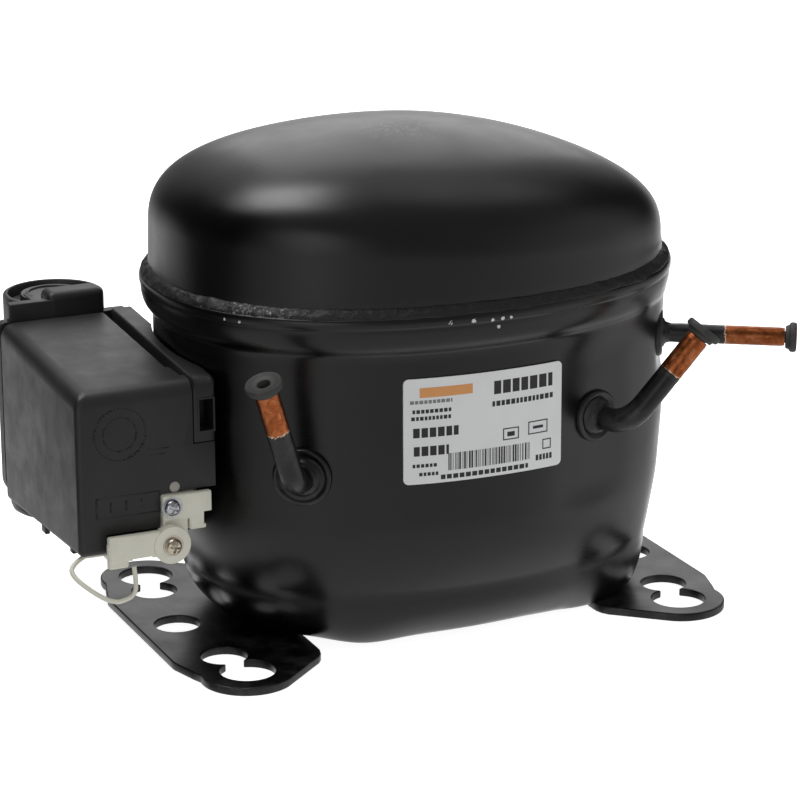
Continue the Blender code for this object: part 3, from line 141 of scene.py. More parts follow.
class Nodes:
    """A shader tree whose node inputs take a plain value or another node's output."""

    def __init__(self, tree, space):
        self.tree = tree
        self.place = tree.nodes.new("ShaderNodeTexCoord").outputs[space]

    def feed(self, socket, value):
        if hasattr(value, "is_output"):
            self.tree.links.new(value, socket)
        elif isinstance(value, tuple) and len(value) == 3 and len(socket.default_value) == 4:
            socket.default_value = (*value, 1.0)
        else:
            socket.default_value = value

    def add(self, kind, inputs, **settings):
        """A new node with its settings made and its inputs fed, by name or number."""
        node = self.tree.nodes.new("ShaderNode" + kind)
        for key, value in settings.items():
            setattr(node, key, value)
        for key, value in inputs.items():
            self.feed(node.inputs[key], value)
        return node

    def math(self, operation, first, second=0.0, clamp=False):
        return self.add("Math", {0: first, 1: second}, operation=operation, use_clamp=clamp).outputs[0]

    def times(self, first, second):
        return self.math("MULTIPLY", first, second)

    def plus(self, first, second):
        return self.math("ADD", first, second)

    def spread(self, inputs):
        return self.add("MapRange", inputs, interpolation_type="SMOOTHSTEP").outputs["Result"]

    def measure(self, operation, other):
        """The distance to a vector, or the dot product with it, of the place being shaded."""
        return self.add("VectorMath", {0: self.place, 1: other}, operation=operation).outputs["Value"]


class Look(Nodes):
    """A node material whose textures are laid out in millimetres of the object's own space."""

    def __init__(self, name):
        self.material = bpy.data.materials.new(name)
        self.material.use_nodes = True
        super().__init__(self.material.node_tree, "Object")
        self.shader = self.tree.nodes["Principled BSDF"]
        self.place = self.add("VectorMath", {0: self.place, "Scale": 1000.0}, operation="SCALE").outputs[0]

    def noise(self, scale, detail=3.0, rough=0.55, distort=0.0, place=None):
        return self.add("TexNoise", {"Vector": place or self.place, "Scale": scale, "Detail": detail,
                                     "Roughness": rough, "Distortion": distort}).outputs["Fac"]

    def ramp(self, value, *stops):
        node = self.tree.nodes.new("ShaderNodeValToRGB")
        marks = node.color_ramp.elements
        while len(marks) < len(stops):
            marks.new(0.5)
        for mark, (position, colour) in zip(marks, stops):
            mark.position = position
            mark.color = (*colour, 1.0) if isinstance(colour, tuple) else (colour, colour, colour, 1.0)
        self.tree.links.new(value, node.inputs["Fac"])
        return node.outputs["Color"]

    def cloud(self, texture, *stops):
        """A noise of (scale, detail, roughness, distortion) spread over a ramp."""
        return self.ramp(self.noise(*texture), *stops)

    def mix(self, share, first, second):
        return self.add("Mix", {0: share, 6: first, 7: second}, data_type="RGBA").outputs[2]

    def bump(self, height, strength, distance=0.1, normal=None):
        inputs = {"Strength": strength, "Distance": distance * MM, "Height": height}
        if normal is not None:
            inputs["Normal"] = normal
        return self.add("Bump", inputs).outputs["Normal"]

    def near(self, centre, radius, fade):
        """1 inside a ball about a point of the frame, in millimetres, fading out past it."""
        away = self.measure("DISTANCE", at(*centre) / MM)
        return self.math("DIVIDE", self.math("SUBTRACT", radius + fade, away), fade, True)

    def height_along(self, start, direction):
        """Distance in millimetres past a point, along a direction."""
        return self.math("SUBTRACT", self.measure("DOT_PRODUCT", direction), (start / MM).dot(direction))

    def finish(self, slot, colour, rough, normal=None, **others):
        """Feeds the shader; a finish is its material and the name of its slot in the record."""
        inputs = {"Base Color": colour, "Roughness": rough}
        if normal is not None:
            inputs["Normal"] = normal
        inputs.update((key.replace("_", " ").title(), value) for key, value in others.items())
        for key, value in inputs.items():
            self.feed(self.shader.inputs[key], value)
        return self.material, slot


def black_paint(name, rough=(0.25, 0.33), chips=(), dusty=0.0, scuff=None):
    """Stoved black enamel: a little orange peel, a few dust nibs and chips down to the steel."""
    look = Look(name)
    colour = look.cloud((0.035, 4.0), (0.3, (0.0012, 0.0012, 0.0013)), (0.72, (0.0026, 0.0026, 0.0027)))
    spots = look.add("TexVoronoi", {"Vector": look.place, "Scale": 0.22}).outputs["Distance"]
    nibs = look.ramp(spots, (0.0, 1.0), (0.035, 0.0))
    keep = look.cloud((0.05, 1.0), (0.52, 0.0), (0.60, 0.35))
    colour = look.mix(look.times(nibs, keep), colour, (0.22, 0.22, 0.21))
    if dusty:
        film = look.cloud((0.09, 5.0, 0.7), (0.45, 0.0), (0.75, dusty))
        colour = look.mix(film, colour, (0.10, 0.10, 0.10))
    if scuff:
        rubbed = look.times(look.near(scuff, 5.0, 14.0),
                           look.cloud((0.3, 5.0, 0.75, 2.0), (0.5, 0.0), (0.62, 1.0)))
        colour = look.mix(rubbed, colour, (0.075, 0.075, 0.075))
    for centre, radius in chips:
        ragged = look.times(look.noise(1.4, 3.0, 0.7), 2.0 * radius)
        solid = look.plus(look.near(centre, 0.0, 2.2 * radius), look.times(ragged, 0.5 / radius))
        bare = look.math("GREATER_THAN", solid, 1.08)
        colour = look.mix(bare, colour, (0.62, 0.62, 0.60))
    shine = look.cloud((0.06, 3.0), (0.3, rough[0]), (0.7, rough[1]))
    peel = look.bump(look.noise(0.55, 2.0), 0.10, 0.05)
    return look.finish("black_paint", colour, shine, look.bump(look.noise(2.6, 2.0), 0.06, 0.03, peel))


def weld_look():
    """Painted weld: black over a lumpy bead, with spatter and bright bare specks."""
    look = Look("painted_weld")
    base = look.cloud((0.5, 4.0, 0.7), (0.3, (0.003, 0.003, 0.003)), (0.8, (0.010, 0.010, 0.0095)))
    front = look.times(look.near((-75.0, -46.0, 126.5), 9.0, 22.0), 0.15)
    rear = look.times(look.near((88.0, -20.0, 127.0), 10.0, 26.0), 0.06)
    fleck = look.plus(look.noise(0.7, 5.0, 0.72, 0.5), look.plus(front, rear))
    colour = look.mix(look.ramp(fleck, (0.70, 0.0), (0.78, 0.75)), base, (0.42, 0.42, 0.41))
    rough = look.cloud((1.1, 3.0), (0.3, 0.42), (0.75, 0.62))
    bump = look.bump(look.noise(0.8, 4.0, 0.7), 0.7, 0.4)
    return look.finish("black_paint", colour, rough, bump, coat_weight=0.06, coat_roughness=0.2)


def moulded_plastic(name, base, rough, slot="black_plastic", grain=0.12):
    look = Look(name)
    light, worn = (tuple(min(1.0, c * gain + lift) for c in base)
                   for gain, lift in ((1.35, 0.002), (2.2, 0.01)))
    colour = look.cloud((0.05, 4.0, 0.6), (0.3, base), (0.75, light))
    colour = look.mix(look.cloud((0.35, 5.0, 0.75, 1.2), (0.66, 0.0), (0.80, 0.25)), colour, worn)
    shine = look.cloud((0.12, 3.0), (0.3, rough - 0.05), (0.7, rough + 0.06))
    return look.finish(slot, colour, shine, look.bump(look.noise(3.2, 2.0), grain, 0.04))


def nylon_look():
    look = Look("natural_nylon")
    colour = look.cloud((0.12, 3.0), (0.3, (0.74, 0.73, 0.62)), (0.75, (0.82, 0.81, 0.71)))
    colour = look.mix(look.cloud((0.5, 4.0, 0.7), (0.68, 0.0), (0.85, 0.3)), colour, (0.50, 0.46, 0.36))
    look.shader.inputs["Subsurface Radius"].default_value = (1.0, 0.9, 0.6)
    look.shader.inputs["Subsurface Scale"].default_value = 0.0012
    return look.finish("white_nylon", colour, 0.38, look.bump(look.noise(1.6, 2.0), 0.1, 0.05),
                       subsurface_weight=0.25)


def copper_look(name, start, along, paint_to, tone_scale=1.0):
    """Drawn copper tube: brown stains, draw lines, and paint that ends in a torn edge."""
    look = Look(name)
    shades = [(0.25, (0.14, 0.034, 0.012)), (0.5, (0.40, 0.115, 0.038)), (0.75, (0.66, 0.27, 0.13))]
    toned = [(place, tuple(c * tone_scale for c in shade)) for place, shade in shades]
    tone = look.cloud((0.28, 5.0, 0.65, 0.6), *toned)
    stain = look.cloud((0.6, 5.0, 0.75, 1.0), (0.60, 0.0), (0.70, 0.85))
    colour = look.mix(stain, tone, (0.12, 0.045, 0.025))
    ragged = look.times(look.noise(0.9, 4.0, 0.7), -3.6)
    torn = look.plus(look.height_along(start, along), ragged)
    painted = look.math("LESS_THAN", torn, paint_to - 1.8)
    colour = look.mix(look.math("LESS_THAN", torn, paint_to - 1.5), colour, (0.86, 0.62, 0.45))
    colour = look.mix(painted, colour, (0.010, 0.010, 0.010))
    scratch = look.bump(look.noise(1.2, 4.0, 0.7), 0.25, 0.06)
    shine = look.cloud((0.5, 3.0), (0.3, 0.24), (0.7, 0.42))
    return look.finish("copper", colour, shine, scratch, metallic=look.math("SUBTRACT", 1.0, painted))


def rubber_look():
    look = Look("grey_rubber")
    colour = look.cloud((0.4, 4.0, 0.7), (0.3, (0.026, 0.026, 0.025)), (0.75, (0.05, 0.05, 0.048)))
    colour = look.mix(look.cloud((1.2, 4.0, 0.7), (0.6, 0.0), (0.85, 0.5)), colour, (0.16, 0.15, 0.14))
    return look.finish("rubber", colour, 0.62, look.bump(look.noise(1.5, 3.0), 0.2, 0.08))


def metal_look(name, slot, dark, light, rough, grain=(0.2, 0.2, 0.2), metal=1.0, bump=0.15):
    look = Look(name)
    stretched = look.add("VectorMath", {0: look.place, 1: grain}, operation="MULTIPLY").outputs[0]
    lines = look.noise(1.0, 5.0, 0.65, 0.0, stretched)
    shine = look.cloud((0.3, 3.0), (0.3, rough - 0.06), (0.7, rough + 0.08))
    colour = look.ramp(lines, (0.3, dark), (0.72, light))
    return look.finish(slot, colour, shine, look.bump(lines, bump, 0.04), metallic=metal)


def foil_look():
    look = Look("label_foil")
    colour = look.cloud((0.06, 3.0), (0.3, (0.76, 0.765, 0.77)), (0.75, (0.82, 0.825, 0.83)))
    grain = look.bump(look.noise(6.0, 2.0, 0.6), 0.06, 0.02)
    return look.finish("label_foil", colour, 0.42, grain, metallic=0.15)


def ink_look(name, colour):
    look = Look(name)
    worn = look.cloud((1.4, 4.0, 0.7), (0.62, 0.0), (0.8, 0.35))
    return look.finish("label_foil", look.mix(worn, colour, (0.45, 0.46, 0.46)), 0.5)


SHELL_PAINT = black_paint("shell_enamel", chips=CHIPS)
DOME_PAINT = black_paint("dome_enamel", (0.27, 0.34), scuff=SCUFF)
PLATE_PAINT = black_paint("plate_enamel", (0.30, 0.42), dusty=0.5)
TUBE_PAINT = black_paint("tube_enamel", (0.30, 0.42), dusty=0.35)
WELD = weld_look()
BOX_PLASTIC = moulded_plastic("box_plastic", (0.013, 0.013, 0.013), 0.47)
CAN_PLASTIC = moulded_plastic("can_plastic", (0.020, 0.020, 0.021), 0.42)
RELAY_PLASTIC = moulded_plastic("relay_plastic", (0.028, 0.028, 0.03), 0.5)
PIN_PLASTIC = moulded_plastic("beige_pin", (0.30, 0.29, 0.25), 0.5, "white_nylon")
NYLON = nylon_look()
RUBBER = rubber_look()
ZINC = metal_look("zinc_screw", "zinc_steel", (0.42, 0.43, 0.46), (0.74, 0.75, 0.78), 0.24)
YELLOW_ZINC = metal_look("passivated_screw", "zinc_steel", (0.50, 0.44, 0.36), (0.78, 0.70, 0.58), 0.26)
FOIL = foil_look()
INK = ink_look("black_ink", (0.018, 0.018, 0.02))
ORANGE_INK = ink_look("orange_ink", (0.70, 0.32, 0.11))
GREY_INK = ink_look("grey_ink", (0.20, 0.205, 0.21))
STEEL, *INSIDE = [metal_look(*row) for row in (
    ("turned_steel", "machined_steel", (0.30, 0.30, 0.31), (0.55, 0.55, 0.57), 0.28, (0.05, 0.05, 3.0)),
    ("laminations", "lamination_steel", (0.10, 0.105, 0.12), (0.30, 0.31, 0.34), 0.42, (0.02, 0.02, 4.0)),
    ("copper_winding", "enamelled_winding", (0.22, 0.06, 0.02), (0.60, 0.24, 0.08), 0.30, (1.6, 1.6, 1.6),
     0.6, 0.5),
    ("cast_iron", "cast_iron", (0.07, 0.07, 0.072), (0.16, 0.16, 0.165), 0.55, (1.2, 1.2, 1.2), 0.7, 0.5),
    ("die_cast_aluminium", "aluminium", (0.42, 0.43, 0.44), (0.66, 0.67, 0.69), 0.40, (0.8, 0.8, 0.8)),
    ("pipe_copper", "copper", (0.42, 0.16, 0.07), (0.78, 0.36, 0.18), 0.30, (0.4, 0.4, 0.4)))]
SLOT_LOOKS = {slot: material for material, slot in (
    STEEL, *INSIDE, ZINC, RELAY_PLASTIC, PLATE_PAINT, NYLON, RUBBER, FOIL,
    moulded_plastic("muffler_plastic", (0.60, 0.54, 0.42), 0.45, "muffler_plastic"))}
for entry in frame["record"]["subparts"]:
    node = frame["nodes"][entry["node"]]
    node.data.materials.clear()
    node.data.materials.append(SLOT_LOOKS[entry["material_slot"]])


# ---- mesh tools ----

def mesh_of(name, bm):
    """A bmesh's mesh, with its faces pointing out."""
    bmesh.ops.recalc_face_normals(bm, faces=bm.faces)
    mesh = bpy.data.meshes.new(name)
    bm.to_mesh(mesh)
    bm.free()
    return mesh


def linked(name, data):
    obj = bpy.data.objects.new(name, data)
    bpy.context.scene.collection.objects.link(obj)
    return obj


def shade(mesh, angle):
    """Smooth, but for edges sharper than an angle."""
    mesh.shade_smooth()
    mesh.set_sharp_from_angle(angle=radians(angle))


def settle(obj, finish, replaces=(), body="shell"):
    """Gives an object its material, and lets it ride on a CAD body."""
    material, slot = finish
    obj.data.materials.clear()
    obj.data.materials.append(material)
    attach(obj, body)
    if replaces:
        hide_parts(*replaces)
    return obj


def piece(name, bm, finish, replaces=(), angle=40.0, body="shell"):
    mesh = mesh_of(name, bm)
    shade(mesh, angle)
    return settle(linked(name, mesh), finish, replaces, body)


def loft(rings, close_ring=False, cap_low=False, cap_high=False):
    """Quads between rings of points in the frame."""
    bm = bmesh.new()
    rows = [[bm.verts.new(point) for point in ring] for ring in rings]
    pairs = list(zip(rows, rows[1:])) + ([(rows[-1], rows[0])] if close_ring else [])
    for low, high in pairs:
        for i in range(len(low)):
            j = (i + 1) % len(low)
            bm.faces.new((low[i], low[j], high[j], high[i]))
    if cap_low:
        bm.faces.new(list(reversed(rows[0])))
    if cap_high:
        bm.faces.new(rows[-1])
    return bm


def facing(direction):
    return Vector(direction).to_track_quat("Z", "Y").to_matrix().to_4x4()


def turned(profile, start, axis, steps=48, wobble=None):
    """Turns (radius, height) points in millimetres about an axis; radius 0 closes to a pole."""
    bm = bmesh.new()
    place = Matrix.Translation(at(*start)) @ facing(axis)
    rows = []
    for radius, height in profile:
        row = []
        for angle in circle(steps if radius > 0.0 else 1):
            reach = radius + (wobble(angle, height) if wobble and radius > 0.0 else 0.0)
            point = Vector((reach * cos(angle), reach * sin(angle), height)) * MM
            row.append(bm.verts.new(place @ point))
        rows.append(row)
    for low, high in zip(rows, rows[1:]):
        for i in range(steps):
            corners = [row[k % len(row)] for row, k in ((low, i), (low, i + 1), (high, i + 1), (high, i))]
            if len(set(corners)) > 2:
                bm.faces.new(list(dict.fromkeys(corners)))
    return bm


def lumpy(size, round_scale, along_scale, offset=0.0):
    """A wobble for a turned shape: noise of a size in millimetres, round it and along it."""
    return lambda angle, height: offset + size * noise(
        Vector((cos(angle) * round_scale, sin(angle) * round_scale, height * along_scale)))


def sweep(points, radius, sides=28):
    """A round bar along points of the frame; radius is a function of the share of its length, in mm."""
    tangents = []
    for i in range(len(points)):
        before, after = points[max(i - 1, 0)], points[min(i + 1, len(points) - 1)]
        tangents.append((after - before).normalized())
    side = tangents[0].orthogonal().normalized()
    rings = []
    for i, (point, tangent) in enumerate(zip(points, tangents)):
        side = (side - tangent * side.dot(tangent)).normalized()
        other = tangent.cross(side)
        reach = radius(i / (len(points) - 1)) * MM
        rings.append([point + (side * cos(a) + other * sin(a)) * reach
                      for a in circle(sides)])
    return loft(rings, cap_low=True, cap_high=True)


def raw(name, bm):
    """An object without a look, to be cut, joined or settled."""
    return linked(name, mesh_of(name, bm))


def block(low, high, radius=0.0, segments=4, name="block"):
    """A box between two corners in millimetres, with its edges rounded to a radius."""
    low, high = at(*low), at(*high)
    bm = bmesh.new()
    place = Matrix.Translation((low + high) / 2.0) @ Matrix.Diagonal((*(high - low), 1.0))
    bmesh.ops.create_cube(bm, size=1.0, matrix=place)
    if radius:
        bmesh.ops.bevel(bm, geom=bm.edges[:], offset=radius * MM, segments=segments, affect="EDGES",
                        profile=0.5)
    return raw(name, bm)


def rod(radius, start, axis, depth, segments=96):
    bm = bmesh.new()
    centre = at(*start) + Vector(axis).normalized() * depth * MM / 2.0
    bmesh.ops.create_cone(bm, cap_ends=True, segments=segments, radius1=radius * MM, radius2=radius * MM,
                          depth=depth * MM, matrix=Matrix.Translation(centre) @ facing(axis))
    return raw("rod", bm)


def baked(obj):
    """Applies an object's modifiers."""
    graph = bpy.context.evaluated_depsgraph_get()
    mesh = bpy.data.meshes.new_from_object(obj.evaluated_get(graph))
    obj.modifiers.clear()
    obj.data = mesh
    return obj


def merge(obj, tool, operation="DIFFERENCE"):
    """Applies a Boolean at once and removes its tool."""
    change = obj.modifiers.new("merge", "BOOLEAN")
    change.object, change.operation, change.solver = tool, operation, "EXACT"
    baked(obj)
    bpy.data.objects.remove(tool, do_unlink=True)


def cut(obj, low, high):
    merge(obj, block(low, high))


def join(obj, low, high, radius, segments=4):
    merge(obj, block(low, high, radius, segments), "UNION")


def soften(obj, width, segments=3, angle=35.0):
    """Rounds an object's sharp edges and shades it smooth."""
    edge = obj.modifiers.new("soften", "BEVEL")
    edge.width, edge.segments, edge.limit_method = width * MM, segments, "ANGLE"
    edge.angle_limit = radians(angle)
    shade(obj.data, angle)
    return obj


def thicken(obj, depth):
    """Gives a skin its depth, inwards."""
    sheet = obj.modifiers.new("sheet", "SOLIDIFY")
    sheet.thickness, sheet.offset = depth * MM, -1.0


# ---- shell ----

def outline(angle, half_x, half_y, power):
    c, s = cos(angle), sin(angle)
    reach = (abs(c) ** power + abs(s) ** power) ** (-1.0 / power)
    return SHELL_X + half_x * reach * c, SHELL_Y + half_y * reach * s


def pad_fade(z, low, high):
    """1 over a pressed flat's height, fading out below and above it."""
    return smooth((z - low) / PAD_FADE) * (1.0 - smooth((z - high) / PAD_FADE))


def eased(depth, round_off):
    """The positive part of a depth, with its corner rounded off."""
    return (depth + sqrt(depth * depth + round_off)) / 2.0


def press(point):
    """Flattens the tube pads and the terminal seat into the wall, and dimples it near the plates."""
    point = point.copy()
    for stub in STUBS.values():
        fade = pad_fade(point.z, stub.get("pad_low", PAD_LOW), stub.get("pad_high", PAD_HIGH))
        normal = Vector(stub["normal"]).normalized()
        proud = (point - Vector(stub["wall"])).dot(normal) + PAD_DEPTH - stub.get("proud", 0.0)
        if proud > -8.0:
            point -= normal * eased(proud, 0.25) * fade * smooth((proud + 8.0) / 6.0)
    seat = -90.0 - point.x
    if seat > -4.0:
        point.x += eased(seat, 0.4) * pad_fade(point.z, PAD_LOW, PAD_HIGH)
    for centre, radius, depth in DENTS:
        away = point - Vector(centre)
        fall = exp(-away.length_squared / (radius * radius))
        inward = Vector((SHELL_X, SHELL_Y, point.z)) - point
        point += inward.normalized() * depth * fall
    for x, y, drop in FEET:
        spread = ((point.x - x) / 15.0) ** 2 + ((point.y - y) / 13.0) ** 2
        point.z -= drop * exp(-spread) * (1.0 - smooth((point.z - 3.0) / 26.0))
    sway = noise(point * 0.035) * 0.16 + noise(point * 0.11) * 0.04
    outward = Vector((point.x - SHELL_X, (point.y - SHELL_Y) * 1.5, 0.0))
    if outward.length > 1.0:
        point += outward.normalized() * sway * smooth(point.z / 20.0)
    return point


def make_lower_shell():
    rows = [(60.0, BOWL_Z), (45.0, BOWL_Z)]
    for step in range(16, -1, -1):
        angle = pi / 2.0 * step / 16
        inwards, up = BOWL_R * (1.0 - cos(angle)), BOWL_R * (1.0 - sin(angle))
        rows.append((INSET + BOWL_TAPER + inwards, BOWL_Z + up))
    taper_high = BOWL_TAPER_Z - BOWL_Z - BOWL_R
    for step in range(1, 11):
        part = 1.0 - step / 10.0
        rows.append((INSET + BOWL_TAPER * part ** 1.6, BOWL_TAPER_Z - taper_high * part))
    rows += [(INSET, z) for z in (*range(53, 102, 3), 103.5, 105.5, 107.5, 109.0)]
    rows += [(1.15, 110.0), (1.05, 110.8), (0.8, 111.5), (0.35, 112.1), (-0.25, 112.8), (-0.9, 113.6),
             (-1.5, 114.5), (-2.0, 115.6), (-2.35, 116.8), (-2.6, 118.0), (-2.75, 119.4), (-2.8, 120.6),
             (-2.75, 121.1), (-2.8, 121.4), (-3.05, 121.7), (-3.2, 122.1), (-3.2, 123.4), (-3.1, 124.2),
             (-2.8, 124.8), (-2.2, 125.1), (-1.2, 125.2), (0.3, 125.2)]
    rings = []
    for inset, z in rows:
        ring = []
        for angle in circle(SHELL_STEPS):
            x, y = outline(angle, SEAM_A - inset, SEAM_B - inset, POWER)
            if inset > INSET:
                outer_x, outer_y = outline(angle, SEAM_A - INSET, SEAM_B - INSET, POWER)
                full = 0.6 * smooth((outer_x - 45.0) / 30.0)
                x, y = x + (outer_x - x) * full, y + (outer_y - y) * full
            high = smooth((z - 30.0) / 45.0) * (1.0 - smooth((z - 110.0) / 6.0))
            x += RIGHT_FULL * smooth((x - 45.0) / 40.0) * high
            ring.append(at(*press(Vector((x, y, z)))))
        rings.append(ring)
    thicken(piece("lower_shell_skin", loft(rings, cap_low=True), SHELL_PAINT, ["lower_shell"], 60.0), SHEET_T)


def make_upper_shell():
    rows = [(SEAM_A, SEAM_B, POWER, z, 0.0) for z in (122.0, 126.0, 128.0, DOME_WALL_LOW)]
    for step in range(1, 7):
        share = step / 6.0
        draft = DOME_DRAFT * share
        height = DOME_WALL_LOW + (DOME_WALL_Z - DOME_WALL_LOW) * share
        rows.append((SEAM_A - draft, SEAM_B - draft, POWER, height, smooth(share)))
    half_x, half_y = SEAM_A - DOME_DRAFT, SEAM_B - DOME_DRAFT
    for step in range(1, 45):
        share = cos(pi / 2.0 * step / 45.0)
        power = 2.0 + 0.2 * share + 0.34 * smooth(share / 0.8) * (1.0 - share ** 12)
        height = DOME_WALL_Z + DOME_RISE * (1.0 - share ** 1.68) ** (1.0 / 2.25)
        rows.append((half_x * share, half_y * share, power, height, 1.0))
    rings = []
    for half_x, half_y, power, z, tilt in rows:
        ring = []
        for angle in circle(SHELL_STEPS):
            x, y = outline(angle, half_x, half_y, power)
            point = Vector((x, y, z + tilt * (DOME_TILT[0] * x + DOME_TILT[1] * y)))
            point.z += (noise(point * 0.02) * 0.2 - 0.15) * tilt
            ring.append(at(*point))
        rings.append(ring)
    bm = loft(rings)
    bm.verts.ensure_lookup_table()
    last = bm.verts[-SHELL_STEPS:]
    top = bmesh.ops.poke(bm, faces=[bm.faces.new(last)])["verts"][0]
    top.co.z = (last[0].co.z + last[SHELL_STEPS // 2].co.z) / 2.0 + 0.02 * MM
    thicken(piece("upper_shell_skin", bm, DOME_PAINT, ["upper_shell"], 60.0), SHEET_T)


def make_weld_bead():
    """Lumpy fillet of electrode weld between the top of the lip and the dome's skirt."""
    around, sides = 620, 20
    rings = []
    for angle in circle(sides):
        ring = []
        for turn in circle(around):
            spot = Vector((cos(turn) * 40.0, sin(turn) * 40.0, cos(angle)))
            lump = sum(size * noise(spot * fine) for size, fine in BEAD_LUMPS)
            along = cos(angle) * (2.3 + 0.5 * noise(spot * 0.4 + Vector((9, 0, 0))))
            proud = sin(angle) * (0.62 + lump)
            out = 1.15 + along * 0.68 + proud * 0.73
            x, y = outline(turn, SEAM_A + out, SEAM_B + out, POWER)
            ring.append(at(x, y, 126.35 + proud * 0.68 - along * 0.73 + 0.3 * noise(spot * 0.2)))
        rings.append(ring)
    piece("weld_bead_lumpy", loft(rings, close_ring=True), WELD, ["shell_weld_bead"], 180.0)


# ---- base plates ----

def arc(centre, radius, start, end, steps):
    angles = [start + (end - start) * i / steps for i in range(steps + 1)]
    return [(centre[0] + radius * cos(a), centre[1] + radius * sin(a)) for a in angles]


def keyhole(side, steps=44):
    """The outline of a small and a large mounting hole that run into each other."""
    (small_at, small_r), (large_at, large_r) = SMALL_HOLE, LARGE_HOLE
    small, large = Vector((small_at[0], small_at[1] * side)), Vector((large_at[0], large_at[1] * side))
    along = large - small
    distance = along.length
    heading = atan2(along.y, along.x)
    reach = (distance ** 2 + small_r ** 2 - large_r ** 2) / (2.0 * distance)
    small_open, large_open = acos(reach / small_r), acos((distance - reach) / large_r)
    back = heading + pi
    return (arc(small, small_r, heading + small_open, heading + 2.0 * pi - small_open, steps)
            + arc(large, large_r, back + large_open, back + 2.0 * pi - large_open, steps))


def plate_edge():
    upper = [(PLATE_END, 0.0), (PLATE_END, 31.0), (102.9, 34.0), (101.9, 37.6), (101.0, 41.0), (99.9, 45.0)]
    upper += arc(LARGE_HOLE[0], 16.3, radians(-8), radians(128), 40)
    upper += [(57.6, 50.6), (55.6, 48.9), (54.0, 46.6), (53.1, 43.6), (53.0, 41.0), (53.0, 0.0)]
    return upper + [(x, -y) for x, y in reversed(upper[1:-1])]


def make_plate(name, side):
    """Flat pressed plate with a slightly rolled edge, from its outline and its holes."""
    curve = bpy.data.curves.new(name, "CURVE")
    curve.dimensions, curve.fill_mode = "2D", "BOTH"
    curve.extrude = (PLATE_T / 2.0 - PLATE_EDGE) * MM
    curve.bevel_depth = PLATE_EDGE * MM
    curve.bevel_resolution = 2
    curve.offset = -PLATE_EDGE * MM
    middle_hole = arc((89.0, 0.0), 8.0, 0, 6.18, 60)
    for number, points in enumerate([plate_edge(), keyhole(1), keyhole(-1), middle_hole]):
        ring = [(x * side, y) for x, y in points]
        area = sum(a[0] * b[1] - b[0] * a[1] for a, b in zip(ring, ring[1:] + ring[:1]))
        if (area > 0) != (number == 0):
            ring.reverse()
        line = curve.splines.new("POLY")
        line.points.add(len(ring) - 1)
        line.use_cyclic_u = True
        for point, (x, y) in zip(line.points, ring):
            point.co = (x * MM, y * MM, 0.0, 1.0)
    guide = linked(name + "_guide", curve)
    guide.location = at(0.0, 0.0, PLATE_T / 2.0)
    bpy.context.view_layer.update()
    graph = bpy.context.evaluated_depsgraph_get()
    mesh = bpy.data.meshes.new_from_object(guide.evaluated_get(graph))
    mesh.transform(guide.matrix_world)
    bpy.data.objects.remove(guide, do_unlink=True)
    shade(mesh, 30.0)
    settle(linked(name + "_pressed", mesh), PLATE_PAINT, [name])


# ---- tube stubs ----

def stub_line(stub):
    normal = Vector(stub["normal"]).normalized()
    seat = Vector(stub["wall"]) - normal * (PAD_DEPTH - 0.3 - stub.get("proud", 0.0))
    bend = Vector(stub["wall"]) + normal * stub["stand"]
    return seat, normal, bend, Vector(stub["along"]).normalized()


def stub_path(stub, end):
    seat, normal, bend, along = stub_line(stub)
    if stub["stand"] == 0.0:
        return [at(*seat.lerp(bend + along * end, i / 12.0)) for i in range(13)]
    reach = min(stub["stand"] * 0.8, 9.0)
    start, finish = bend - normal * reach, bend + along * reach
    points = [seat, seat.lerp(start, 0.5)]
    for i in range(19):
        t = i / 18.0
        points.append(start.lerp(bend, t).lerp(bend.lerp(finish, t), t))
    points += [finish.lerp(bend + along * end, i / 8.0) for i in range(1, 9)]
    return [at(*point) for point in points]


